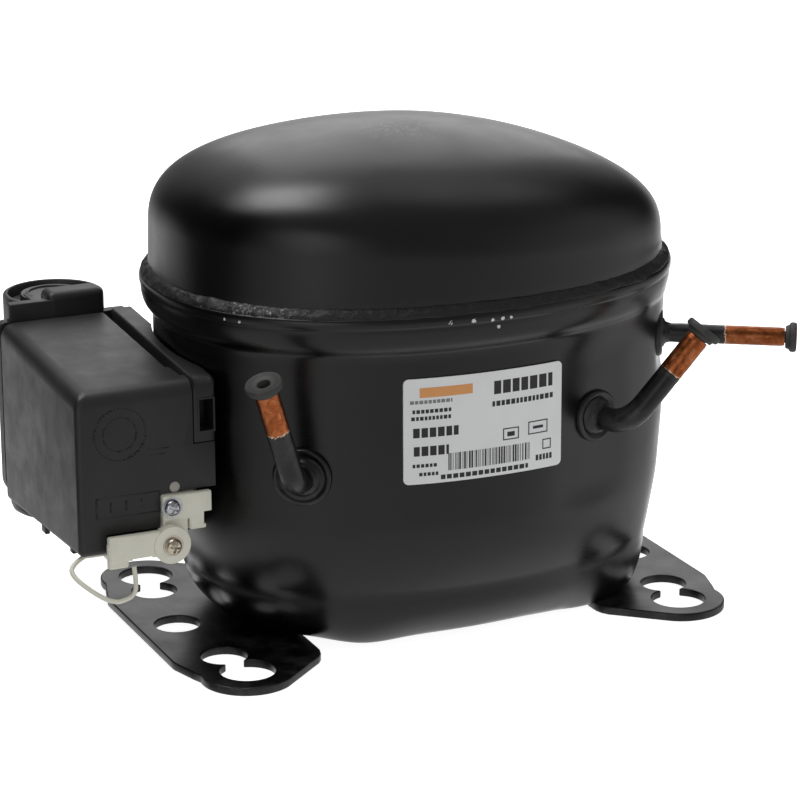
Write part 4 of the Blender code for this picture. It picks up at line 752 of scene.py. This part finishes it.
def make_stub(name, stub):
    seat, normal, bend, along = stub_line(stub)
    radius, sleeve_from = stub["radius"], stub["length"] - stub["sleeve"]

    def girth(t):
        swell = 0.05 * exp(-((t - 0.45) / 0.25) ** 2)
        return radius * (1.0 + swell) + 0.05 * noise(Vector((t * 14, 1, 2)))

    tube = sweep(stub_path(stub, sleeve_from + 0.4), girth)
    piece(name + "_steel_tube", tube, TUBE_PAINT, [name + "_stub"], 60.0)

    reach = stub["collar"]
    collar = [(reach, -1.5), (reach, 0.5), (reach - 0.25, 1.1), (reach - 0.8, 1.4), (reach - 1.5, 1.2),
              (reach - 2.0, 0.7), (reach - 2.8, 0.55)]
    collar += [(radius + out, up) for out, up in (
        (2.6, 0.7), (2.1, 1.3), (1.5, 2.0), (0.9, 2.2), (0.45, 2.7), (0.1, 3.8), (-0.4, 5.0))]
    piece(name + "_collar", turned(collar, seat, normal, 64, lumpy(0.12, 3, 1)), TUBE_PAINT, (), 50.0)

    start, length, inner = bend + along * sleeve_from, stub["sleeve"], radius - SLEEVE_WALL
    copper = copper_look(name + "_copper", at(*start), along, 1.6, stub.get("tone", 1.0))
    sleeve = [(inner, 0.0)] + [(radius + 0.02, length * i / 16.0) for i in range(16)]
    sleeve += [(radius - 0.2, length), (inner, length - 0.1), (inner, 0.0)]
    piece(name + "_copper_tube", turned(sleeve, start, along, 56, lumpy(0.05, 2, 0.35)), copper,
          [name + "_copper_sleeve"])

    wide, plug = stub["cap"], inner - 0.3
    k = wide / 6.4
    cap = [(0.0, -6.0), (plug * 0.8, -6.0), (plug, -5.2), (plug, 0.3), (radius + 0.6, 0.3),
           (radius + 0.9, 0.9), (radius + 1.1, 1.5)]
    cap += [(wide - back, up) for back, up in (
        (0.5, 1.7), (0.1, 2.0), (0.0, 2.5), (0.0, 3.4), (0.15, 3.9), (0.6, 4.2), (1.2, 4.1), (1.6, 3.75))]
    cap += [(2.9 * k, 3.6), (2.45 * k, 3.5), (2.15 * k, 3.1), (2.1 * k, 0.9), (0.0, 0.8)]
    end = bend + along * stub["length"]
    piece(name + "_rubber_plug", turned(cap, end, along, 56, lumpy(0.06, 2, 0.5, -0.05)), RUBBER,
          [name + "_cap"], body=name + "_cap")


# ---- label ----

def label_point(u, v, lift):
    """A point of the label from millimetres across and up it."""
    x = LABEL_X[0] + u
    half_x, half_y = SEAM_A - INSET + lift, SEAM_B - INSET + lift
    part = (1.0 - abs((x - SHELL_X) / half_x) ** POWER) ** (1.0 / POWER)
    return at(x, SHELL_Y - half_y * part, LABEL_Z[0] + v)


def make_label():
    wide, tall, corner = LABEL_X[1] - LABEL_X[0], LABEL_Z[1] - LABEL_Z[0], 1.8
    columns = [corner * (1.0 - cos(pi / 2 * i / 6)) for i in range(7)]
    columns += [corner + (wide - 2 * corner) * i / 28.0 for i in range(1, 28)]
    columns += [wide - c for c in reversed(columns[:7])]
    bm = bmesh.new()
    rows = []
    for lift in FOIL_LIFT:
        line = []
        for u in columns:
            side = min(u, wide - u)
            cut = corner - sqrt(max(corner ** 2 - (corner - side) ** 2, 0.0)) if side < corner else 0.0
            line.append([bm.verts.new(label_point(u, v, lift)) for v in (cut, tall / 2, tall - cut)])
        rows.append(line)
    back, front = rows
    for i in range(len(columns) - 1):
        for k in range(2):
            bm.faces.new((front[i][k], front[i + 1][k], front[i + 1][k + 1], front[i][k + 1]))
            bm.faces.new((back[i + 1][k], back[i][k], back[i][k + 1], back[i + 1][k + 1]))
        bm.faces.new((back[i][0], back[i + 1][0], front[i + 1][0], front[i][0]))
        bm.faces.new((front[i][2], front[i + 1][2], back[i + 1][2], back[i][2]))
    for i in (0, -1):
        bm.faces.new((front[i][0], front[i][1], front[i][2], back[i][2], back[i][1], back[i][0]))
    piece("rating_label_foil", bm, FOIL, ["rating_label"], 30.0)


def printed(rects):
    """Thin rectangles (left, right, low, high) that follow the label."""
    bm = bmesh.new()
    for left, right, low, high in rects:
        steps = max(1, int((right - left) / 2.0 + 0.5))
        for i in range(steps):
            a, b = left + (right - left) * i / steps, left + (right - left) * (i + 1) / steps
            corners = ((a, low), (b, low), (b, high), (a, high))
            bm.faces.new([bm.verts.new(label_point(u, v, PRINT_LIFT)) for u, v in corners])
    return bm


def greeked(rng, left, right, low, high, gap, widths):
    """A line of plain blocks in place of a line of writing; low and high run down from the label's top."""
    made = []
    tall = LABEL_Z[1] - LABEL_Z[0]
    u = left
    while u < right - 0.3:
        wide = min(rng.choice(widths), right - u)
        made.append((u, u + wide, tall - low, tall - high))
        u += wide + gap
    return made


def boxed(left, low, wide, high, rim=0.4):
    """The four sides of an empty printed box."""
    right, top = left + wide, low + high
    return [(left, right, low, low + rim), (left, right, top - rim, top),
            (left, left + rim, low + rim, top - rim), (right - rim, right, low + rim, top - rim)]


def make_print():
    rng = random.Random(11)
    tall = LABEL_Z[1] - LABEL_Z[0]
    black = []
    for line in (
            (31.6, 54.0, 8.0, 3.4, 0.7, (2.4, 2.6, 2.9)), (31.0, 54.2, 12.2, 10.4, 0.45, (1.0, 1.2, 1.5)),
            (3.0, 16.4, 12.0, 10.7, 0.4, (0.9, 1.1, 1.2)), (2.6, 16.4, 14.4, 13.1, 0.4, (0.9, 1.1, 1.2)),
            (3.2, 18.8, 20.4, 17.1, 0.6, (2.0, 2.2, 2.3)), (3.4, 15.4, 26.8, 23.5, 0.6, (2.0, 2.2, 2.3)),
            (3.0, 11.8, 30.8, 29.6, 0.4, (0.9, 1.1)), (5.2, 11.8, 33.8, 32.6, 0.4, (0.9, 1.1)),
            (12.6, 44.6, 35.5, 33.9, 0.5, (1.7, 1.8, 1.6)), (47.6, 54.2, 33.6, 31.6, 0.4, (0.9, 1.0))):
        black += greeked(rng, *line)
    u = 15.2
    while u < 45.4:
        wide = rng.choice((0.22, 0.22, 0.42, 0.62))
        black.append((u, u + wide, tall - 32.6, tall - 26.6))
        u += wide + rng.choice((0.25, 0.3, 0.45, 0.6))
    for left, drop, wide, high in ((35.0, 24.6, 6.0, 4.2), (50.2, 30.0, 3.4, 3.6), (44.6, 24.0, 7.6, 4.6)):
        black += boxed(left, tall - drop, wide, high)
    black += [(36.6, 39.4, tall - 23.4, tall - 21.8), (46.4, 50.4, tall - 22.2, tall - 21.2)]
    orange = [(5.4, 23.8, tall - 6.6, tall - 3.2)]
    grey = greeked(rng, 2.2, 16.6, 8.7, 7.5, 0.35, (1.1, 1.3))
    for name, rects, ink in (("black", black, INK), ("orange", orange, ORANGE_INK), ("grey", grey, GREY_INK)):
        piece("label_print_" + name, printed(rects), ink, (), 30.0)


# ---- terminal box ----

def box_low(y):
    return BOX_LOW + (BOX_LOW_REAR - BOX_LOW) * (y - BOX_FRONT) / (BOX_REAR - BOX_FRONT)


def box_section(name, low_x, high_x, inset=0.0, raise_top=0.0, weights=None):
    """The terminal box's (y, z) section between two stations along X, each edge rounded by its own weight."""
    profile = [(BOX_FRONT + inset, BOX_LOW + inset), (BOX_REAR - inset, BOX_LOW_REAR + inset),
               (BOX_REAR - inset, BOX_TOP_REAR - inset + raise_top),
               (BOX_FRONT + inset, BOX_TOP_FRONT - inset + raise_top)]
    bm = bmesh.new()
    low, high = [[bm.verts.new(at(x, y, z)) for y, z in profile] for x in (low_x, high_x)]
    bm.faces.new(low)
    bm.faces.new(list(reversed(high)))
    for i in range(4):
        j = (i + 1) % 4
        bm.faces.new((low[i], high[i], high[j], low[j]))
    if weights:
        layer = bm.edges.layers.float.new("bevel_weight_edge")
        numbers = {vertex: number for number, vertex in enumerate(low + high)}
        for edge in bm.edges:
            edge[layer] = weights.get(tuple(sorted(numbers[vertex] for vertex in edge.verts)), 0.0)
    obj = raw(name, bm)
    if weights:
        edge = obj.modifiers.new("round", "BEVEL")
        edge.limit_method, edge.width, edge.segments = "WEIGHT", BOX_ROUND * MM, 8
        baked(obj)
    return obj


def front_marks(face, rects, discs):
    """Raised marks on the cover's front: rectangles (left, right, low, high), rings (radius, width)."""
    bm = bmesh.new()
    around = 40
    for radius, wide in discs:
        for i in range(around):
            a, b = 2 * pi * i / around, 2 * pi * (i + 1) / around
            corners = [(radius, a), (radius, b), (radius - wide, b), (radius - wide, a)]
            bm.faces.new([bm.verts.new(at(-120.0 + r * cos(t), face, 86.5 + r * sin(t))) for r, t in corners])
    for x0, x1, z0, z1 in rects:
        bm.faces.new([bm.verts.new(at(x, face, z)) for x, z in ((x0, z0), (x1, z0), (x1, z1), (x0, z1))])
    return bm


def make_cover():
    weights = {(2, 3): 1.0, (3, 7): 0.9, (2, 6): 0.5}
    weights.update(((edge, 0.42) for edge in ((1, 2), (0, 3), (0, 1), (0, 4), (1, 5))))
    cover = box_section("cover_moulding", BOX_OUTER, BOX_SPLIT, weights=weights)
    merge(cover, box_section("cavity", BOX_OUTER + BOX_WALL, BOX_SPLIT + 5.0, BOX_WALL))
    apron_to = (BOX_INNER - 0.5, BOX_FRONT + BOX_WALL, APRON_TOP)
    join(cover, (BOX_SPLIT - 4.0, BOX_FRONT, APRON_LOW), apron_to, 0.3)
    cut(cover, (-97.6, BOX_FRONT + 7.5, BOX_TOP_FRONT - 0.9), (BOX_SPLIT + 5, BOX_REAR - 1.5, 116.0))
    for left, top in ((-106.8, APRON_LOW), (-125.6, 52.3)):
        cut(cover, (left, BOX_FRONT - 5, BOX_LOW - 8), (BOX_SPLIT + 5, BOX_FRONT + 12, top))
    settle(soften(cover, 0.3, 2, 50.0), BOX_PLASTIC, ["terminal_cover"], "cover")

    rects = [(-129.0, -106.5, 65.0, 65.4), (-129.0, -106.5, 58.0, 58.4), (-129.0, -128.6, 58.4, 65.0),
             (-106.9, -106.5, 58.4, 65.0), (-110.8, -103.0, 79.8, 80.2), (-109.6, -104.2, 77.8, 78.2)]
    rects += [(x, x + 0.4, 60.0, 63.4) for x in (-124.0, -118.6, -113.2)]
    ribs = front_marks(BOX_FRONT - 0.02, rects, ((9.2, 0.5), (6.0, 0.4)))
    thicken(piece("cover_front_ribs", ribs, BOX_PLASTIC, (), 30.0, "cover"), 0.25)

    for number, (y, wide, drop) in enumerate(((5.4, 4.6, 1.5), (-24.5, 3.0, 0.6)), 1):
        tab = block((BOX_OUTER + 0.3, y - wide / 2, box_low(y) - drop),
                    (BOX_OUTER + 2.0, y + wide / 2, box_low(y) + 1.5), 0.4, name="cover_lug_%d" % number)
        tab.data.shade_smooth()
        settle(tab, BOX_PLASTIC, body="cover")
    pin = [(0.0, 0.55), (1.2, 0.5), (1.75, 0.2), (1.9, -0.3), (1.9, -1.6), (0.0, -1.6)]
    piece("cover_pin_head", turned(pin, (-101.3, BOX_FRONT, 65.9), FORWARD, 32), PIN_PLASTIC, body="cover")


def make_base():
    weights = {(0, 3): 0.15, (2, 3): 0.15, (1, 2): 0.15, (3, 7): 1.0, (4, 7): 0.3, (6, 7): 0.3, (2, 6): 0.3}
    base = box_section("box_base_moulding", BOX_SPLIT + 0.3, BOX_INNER, 0.0, 0.7, weights)
    half_x, half_y = SEAM_A - INSET + 0.6, SEAM_B - INSET + 0.6
    wall = [outline(angle, half_x, half_y, POWER) for angle in circle(160)]
    rings = [[at(x, y, z) for x, y in wall] for z in (BOX_LOW - 8, 114.0)]
    merge(base, raw("shell_clearance", loft(rings, cap_low=True, cap_high=True)))
    merge(base, rod(18.0, (-100.0, 5.0, 76.0), (1, 0, 0), 20.0, 48))
    front = BOX_FRONT - 3
    cut(base, (-100.0, front, 36.0), (-80.0, BOX_FRONT + 2.3, APRON_TOP + 0.3))
    cut(base, (-100.0, front, 36.0), (-80.0, -20.0, APRON_LOW))
    cut(base, (-92.0, front, 84.0), (-86.9, BOX_FRONT + 9.0, 95.0))
    settle(soften(base, 0.3, 2, 40.0), BOX_PLASTIC, ["terminal_box_base"])
    latch = block((-92.6, BOX_FRONT - 0.25, 83.4), (-86.3, BOX_FRONT + 0.6, 95.6), 0.25, name="latch_frame")
    cut(latch, (-91.9, front, 84.1), (-87.0, BOX_FRONT + 3.4, 94.9))
    settle(soften(latch, 0.15, 2), BOX_PLASTIC)


def make_capacitor():
    height = CAN_TOP - CAN_LOW
    can = [(0.0, height - 7.0), (15.9, height - 7.0), (16.0, height - 0.5), (16.4, height), (17.2, height),
           (17.8, height - 0.35), (CAN_R, height - 1.0)]
    can += [(CAN_R, height * (1 - i / 10.0)) for i in range(1, 10)]
    can += [(CAN_R, 2.6), (17.4, 1.0), (16.2, 0.2), (14.8, 0.0), (0.0, 0.0)]
    piece("capacitor_can", turned(can, (CAN_X, CAN_Y, CAN_LOW), UP, 96), CAN_PLASTIC, ["start_capacitor"])
    floor = CAN_TOP - 6.7
    lid = [(0.0, 6.0), (6.0, 6.0), (10.4, 6.1), (11.1, 6.35), (11.6, 6.2), (11.8, 5.4), (11.9, 3.4),
           (12.3, 3.0), (14.6, 3.0), (15.2, 3.3), (15.6, 3.2), (15.7, 2.6), (15.7, 0.0), (0.0, 0.0)]
    piece("capacitor_lid_disc", turned(lid, (CAN_X, CAN_Y, floor), UP, 80), CAN_PLASTIC, ["capacitor_lid"])
    around = arc((CAN_X, CAN_Y), 9.3, radians(200), radians(35), 25)
    rim = [at(x, y, floor + 6.1) for x, y in around]
    piece("capacitor_lid_rib", sweep(rim, lambda t: 0.62, 12), CAN_PLASTIC, (), 60.0)
    tab = block((CAN_X - 11.0, CAN_Y - 10.5, floor + 4.6), (CAN_X - 6.6, CAN_Y + 1.5, floor + 6.6), 0.5,
                name="capacitor_lid_tab")
    tab.data.shade_smooth()
    settle(tab, CAN_PLASTIC)


def make_holder():
    near, far = BOX_REAR + 0.3, BOX_REAR + 4.6
    profile = arc((-127.6, 48.0), 7.0, pi, 1.5 * pi, 10)
    profile += [(-88.0, 41.0), (-88.0, 105.3), (-132.6, 105.3), (-134.0, 104.8), (-134.6, 103.6)]
    rings = [[at(x, y, z) for x, z in profile] for y in (near, far)]
    holder = raw("holder_moulding", loft(rings, cap_low=True, cap_high=True))
    join(holder, (-130.8, near, 98.0), (-114.0, far, 111.4), 0.5)
    join(holder, (-116.6, near - 0.2, 98.0), (-95.6, 58.0, 113.8), 2.6, 5)
    merge(holder, rod(CAN_R + 2.2, (CAN_X, CAN_Y, 52.0), UP, 16.0), "UNION")
    merge(holder, rod(CAN_R + 0.3, (CAN_X, CAN_Y, 20.0), UP, CAN_TOP + 0.3 - 20.0))
    settle(soften(holder, 0.5), BOX_PLASTIC, ["capacitor_holder"])


# ---- cord clamp ----

def make_screw(name, x, z, y, finish, node, turn):
    """A round head with a cross slot, on a washer."""
    head = [(0.0, 2.2), (0.9, 2.17), (1.6, 2.0), (2.2, 1.65), (2.65, 1.1), (2.88, 0.55), (2.9, 0.0),
            (1.6, 0.0), (1.6, -4.5), (0.0, -4.5)]
    screw = raw(name, turned(head, (x, y, z), FORWARD, 48))
    for spin in (turn, turn + pi / 2):
        bm = bmesh.new()
        place = Matrix.Translation(at(x, y - 2.0, z)) @ Matrix.Rotation(spin, 4, "Y")
        slot = Matrix.Diagonal((3.7 * MM, 2.2 * MM, 0.85 * MM, 1.0))
        bmesh.ops.create_cube(bm, size=1.0, matrix=place @ slot)
        merge(screw, raw("slot", bm))
    settle(soften(screw, 0.1, 2), finish, [node])
    ring = [(3.35, 0.0), (3.6, 0.12), (3.6, 0.25), (1.7, 0.25), (1.7, 0.0), (3.35, 0.0)]
    piece(name + "_washer", turned(ring, (x, y + 0.29, z), FORWARD, 40), finish)


def make_clamp():
    foot = block((-106.3, CLAMP_FRONT, 54.6), (-88.9, -30.0, 63.6), 0.7, name="clamp_foot_moulding")
    join(foot, (-106.3, CLAMP_FRONT + 0.2, 43.6), (-97.5, -31.0, 58.0), 0.7)
    join(foot, (-96.9, CLAMP_FRONT + 0.2, 50.6), (-91.0, -31.0, 58.0), 0.6)
    cut(foot, (BOX_SPLIT, BOX_FRONT - 0.3, 40.0), (-80.0, -20.0, 70.0))
    cut(foot, (-91.9, CLAMP_FRONT - 1.0, 52.0), (-86.0, -30.0, 56.6))
    settle(soften(foot, 0.3), NYLON, ["cord_clamp_foot"])
    x, z = PIVOT
    disc = [(0.0, 0.2), (6.0, 0.0), (6.35, -0.15), (6.5, -0.5), (6.5, -3.5), (6.2, -3.85), (0.0, -3.9)]
    bar = raw("clamp_bar_moulding", turned(disc, (x, BAR_FRONT, z), FORWARD, 56))
    join(bar, (-126.7, BAR_FRONT + 0.6, 44.0), (-104.0, BAR_FRONT + 3.7, 52.9), 0.9)
    join(bar, (-127.0, BAR_FRONT + 0.8, 41.8), (-119.8, BAR_FRONT + 3.5, 50.5), 0.9)
    join(bar, (-124.5, BAR_FRONT + 2.2, 41.8), (-119.5, -27.0, 44.4), 0.7)
    join(bar, (-131.4, -30.4, 43.3), (-121.0, -26.6, 44.9), 0.5)
    cut(bar, (-118.6, BAR_FRONT - 1.0, 40.0), (-111.4, BAR_FRONT + 5.0, 44.7))
    settle(soften(bar, 0.25), NYLON, ["cord_clamp_bar"], "clamp_bar")
    make_screw("foot_screw_head", *FOOT_SCREW, CLAMP_FRONT - 0.3, ZINC, "foot_screw", 0.5)
    make_screw("bar_screw_head", x, z, BAR_FRONT - 0.3, YELLOW_ZINC, "clamp_bar_screw", 0.25)


def make_tether():
    """The nylon loop that keeps the clamp bar with the box, on the route of its CAD tube."""
    route = [Vector(point) for point in (
        (-117.6, -38.6, 41.4), (-117.4, -38.8, 38.6), (-117.3, -39.0, 35.6), (-117.6, -39.2, 33.0),
        (-118.9, -39.2, 31.2), (-121.2, -39.0, 30.2), (-124.0, -38.6, 29.8), (-127.2, -38.0, 30.9),
        (-130.6, -37.2, 33.1), (-134.0, -36.2, 35.9), (-136.7, -34.9, 38.7), (-137.6, -33.4, 40.9),
        (-136.4, -31.8, 42.2), (-134.2, -30.4, 43.2), (-131.3, -29.2, 44.0))]
    ends = [2 * route[0] - route[1]] + route + [2 * route[-1] - route[-2]]
    spans, count = len(route) - 1, 72
    points = []
    for step in range(count + 1):
        place = step / count * spans
        span = min(int(place), spans - 1)
        t = place - span
        a, b, c, d = ends[span:span + 4]
        curved = (2 * a - 5 * b + 4 * c - d) * t * t + (3 * b - a - 3 * c + d) * t ** 3
        points.append(0.5 * (2 * b + (c - a) * t + curved))
    curve = bpy.data.curves.new("tether_line", "CURVE")
    curve.dimensions = "3D"
    curve.bevel_depth = 0.8 * MM
    curve.bevel_resolution = 4
    curve.use_fill_caps = True
    line = curve.splines.new("POLY")
    line.points.add(len(points) - 1)
    for point, place in zip(line.points, points):
        point.co = (*at(*place), 1.0)
    tether = settle(linked("clamp_tether_line", curve), NYLON, ["clamp_tether"], "clamp_bar")


# ---- pump springs ----

def make_springs():
    """Four coil springs, each wound inside the box of the CAD spring it hides."""
    wire, turns, per_turn = 0.9 * MM, 4, 28
    count = turns * per_turn
    for number in range(1, 5):
        node = "suspension_spring_%d" % number
        low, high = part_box(node)
        middle = (low + high) / 2.0
        coil = (high.x - low.x) / 2.0 - wire
        points = []
        for step in range(count + 1):
            angle = 2.0 * pi * step / per_turn
            climb = smooth((step / count - 0.06) / 0.88) * 0.35 + step / count * 0.65
            points.append(Vector((middle.x + coil * cos(angle), middle.y + coil * sin(angle),
                                  low.z + wire + (high.z - low.z - 2.0 * wire) * climb)))
        material, slot = STEEL
        spring = raw("pump_spring_%d" % number, sweep(points, lambda t: wire / MM, 14))
        spring.data.shade_smooth()
        spring.data.materials.append(material)
        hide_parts(node)
        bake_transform(spring)


# ---- stage ----

def make_stage():
    """A white table that only the camera sees, lit as a seamless sweep."""
    bm = bmesh.new()
    bmesh.ops.create_grid(bm, x_segments=1, y_segments=1, size=6.0)
    floor = raw("floor", bm)
    floor.location.z = -0.0002
    look = bpy.data.materials.new("white_sweep")
    look.use_nodes = True
    inputs = look.node_tree.nodes["Principled BSDF"].inputs
    for name, value in (
            ("Base Color", (0.90, 0.90, 0.90, 1.0)), ("Roughness", 0.9), ("Specular IOR Level", 0.1),
            ("Emission Color", (1.0, 1.0, 1.0, 1.0)), ("Emission Strength", 0.9)):
        inputs[name].default_value = value
    floor.data.materials.append(look)
    floor.visible_glossy = False
    floor.visible_diffuse = False


def make_room():
    """A dim room, with a bright backdrop behind, and dark and light patches round it."""
    world = bpy.data.worlds.new("studio")
    world.use_nodes = True
    room = Nodes(world.node_tree, "Generated")

    def lobe(azimuth, elevation, outer, inner, strength):
        limits = {"From Min": cos(radians(outer)), "From Max": cos(radians(inner))}
        facing_it = room.measure("DOT_PRODUCT", towards(azimuth, elevation))
        return room.spread({"Value": facing_it, "To Max": strength, **limits})

    height = room.add("SeparateXYZ", {0: room.place}).outputs["Z"]
    levels = {"From Min": -0.42, "From Max": 0.04, "To Min": 0.66, "To Max": 0.22}
    light = room.spread({"Value": height, **levels})
    for shape in DARKS:
        light = room.times(light, room.math("SUBTRACT", 1.0, lobe(*shape)))
    for shape in ROOM:
        light = room.plus(light, lobe(*shape))
    sky = world.node_tree.nodes["Background"]
    room.feed(sky.inputs["Strength"], light)
    sky.inputs["Color"].default_value = (1.0, 1.0, 1.0, 1.0)
    world.cycles.sampling_method = "MANUAL"
    world.cycles.sample_map_resolution = 512
    bpy.context.scene.world = world
    bpy.context.scene.view_settings.view_transform = "Standard"


def make_softbox(name, azimuth, elevation, distance, size, power, glossy=True):
    data = bpy.data.lights.new(name, "AREA")
    data.shape, data.size, data.size_y = "RECTANGLE", size[0], size[1]
    data.energy = power
    lamp = linked(name, data)
    lamp.location = Vector((0.0, 0.0, 0.09)) + towards(azimuth, elevation) * distance
    lamp.rotation_mode = "QUATERNION"
    lamp.rotation_quaternion = towards(azimuth, elevation).to_track_quat("Z", "Y")
    lamp.visible_camera = False
    lamp.visible_glossy = glossy


def make_camera():
    back = towards(*CAMERA_FROM)
    data = bpy.data.cameras.new("camera")
    data.lens, data.sensor_width = CAMERA_LENS, 36.0
    data.clip_start, data.clip_end = 0.01, 50.0
    camera = linked("camera", data)
    camera.location = at(*TARGET) + back * CAMERA_AWAY
    camera.rotation_mode = "QUATERNION"
    roll = Matrix.Rotation(radians(CAMERA_ROLL), 4, "Z").to_quaternion()
    camera.rotation_quaternion = (-back).to_track_quat("-Z", "Y") @ roll
    bpy.context.scene.camera = camera


make_camera()
make_tether()
make_lower_shell()
make_upper_shell()
make_weld_bead()
make_plate("base_plate_left", -1)
make_plate("base_plate_right", 1)
for stub_name, stub_shape in STUBS.items():
    make_stub(stub_name, stub_shape)
make_label()
make_print()
make_cover()
make_base()
make_capacitor()
make_holder()
make_clamp()
make_springs()
make_stage()
make_room()
make_softbox("high_left_box", -132.0, 70.0, 1.3, (0.74, 0.56), 5.4)
make_softbox("rear_right_box", 155.0, 32.0, 1.4, (0.8, 1.1), 3.0)
make_softbox("front_fill", 6.0, 24.0, 1.2, (1.0, 0.8), 2.4, False)
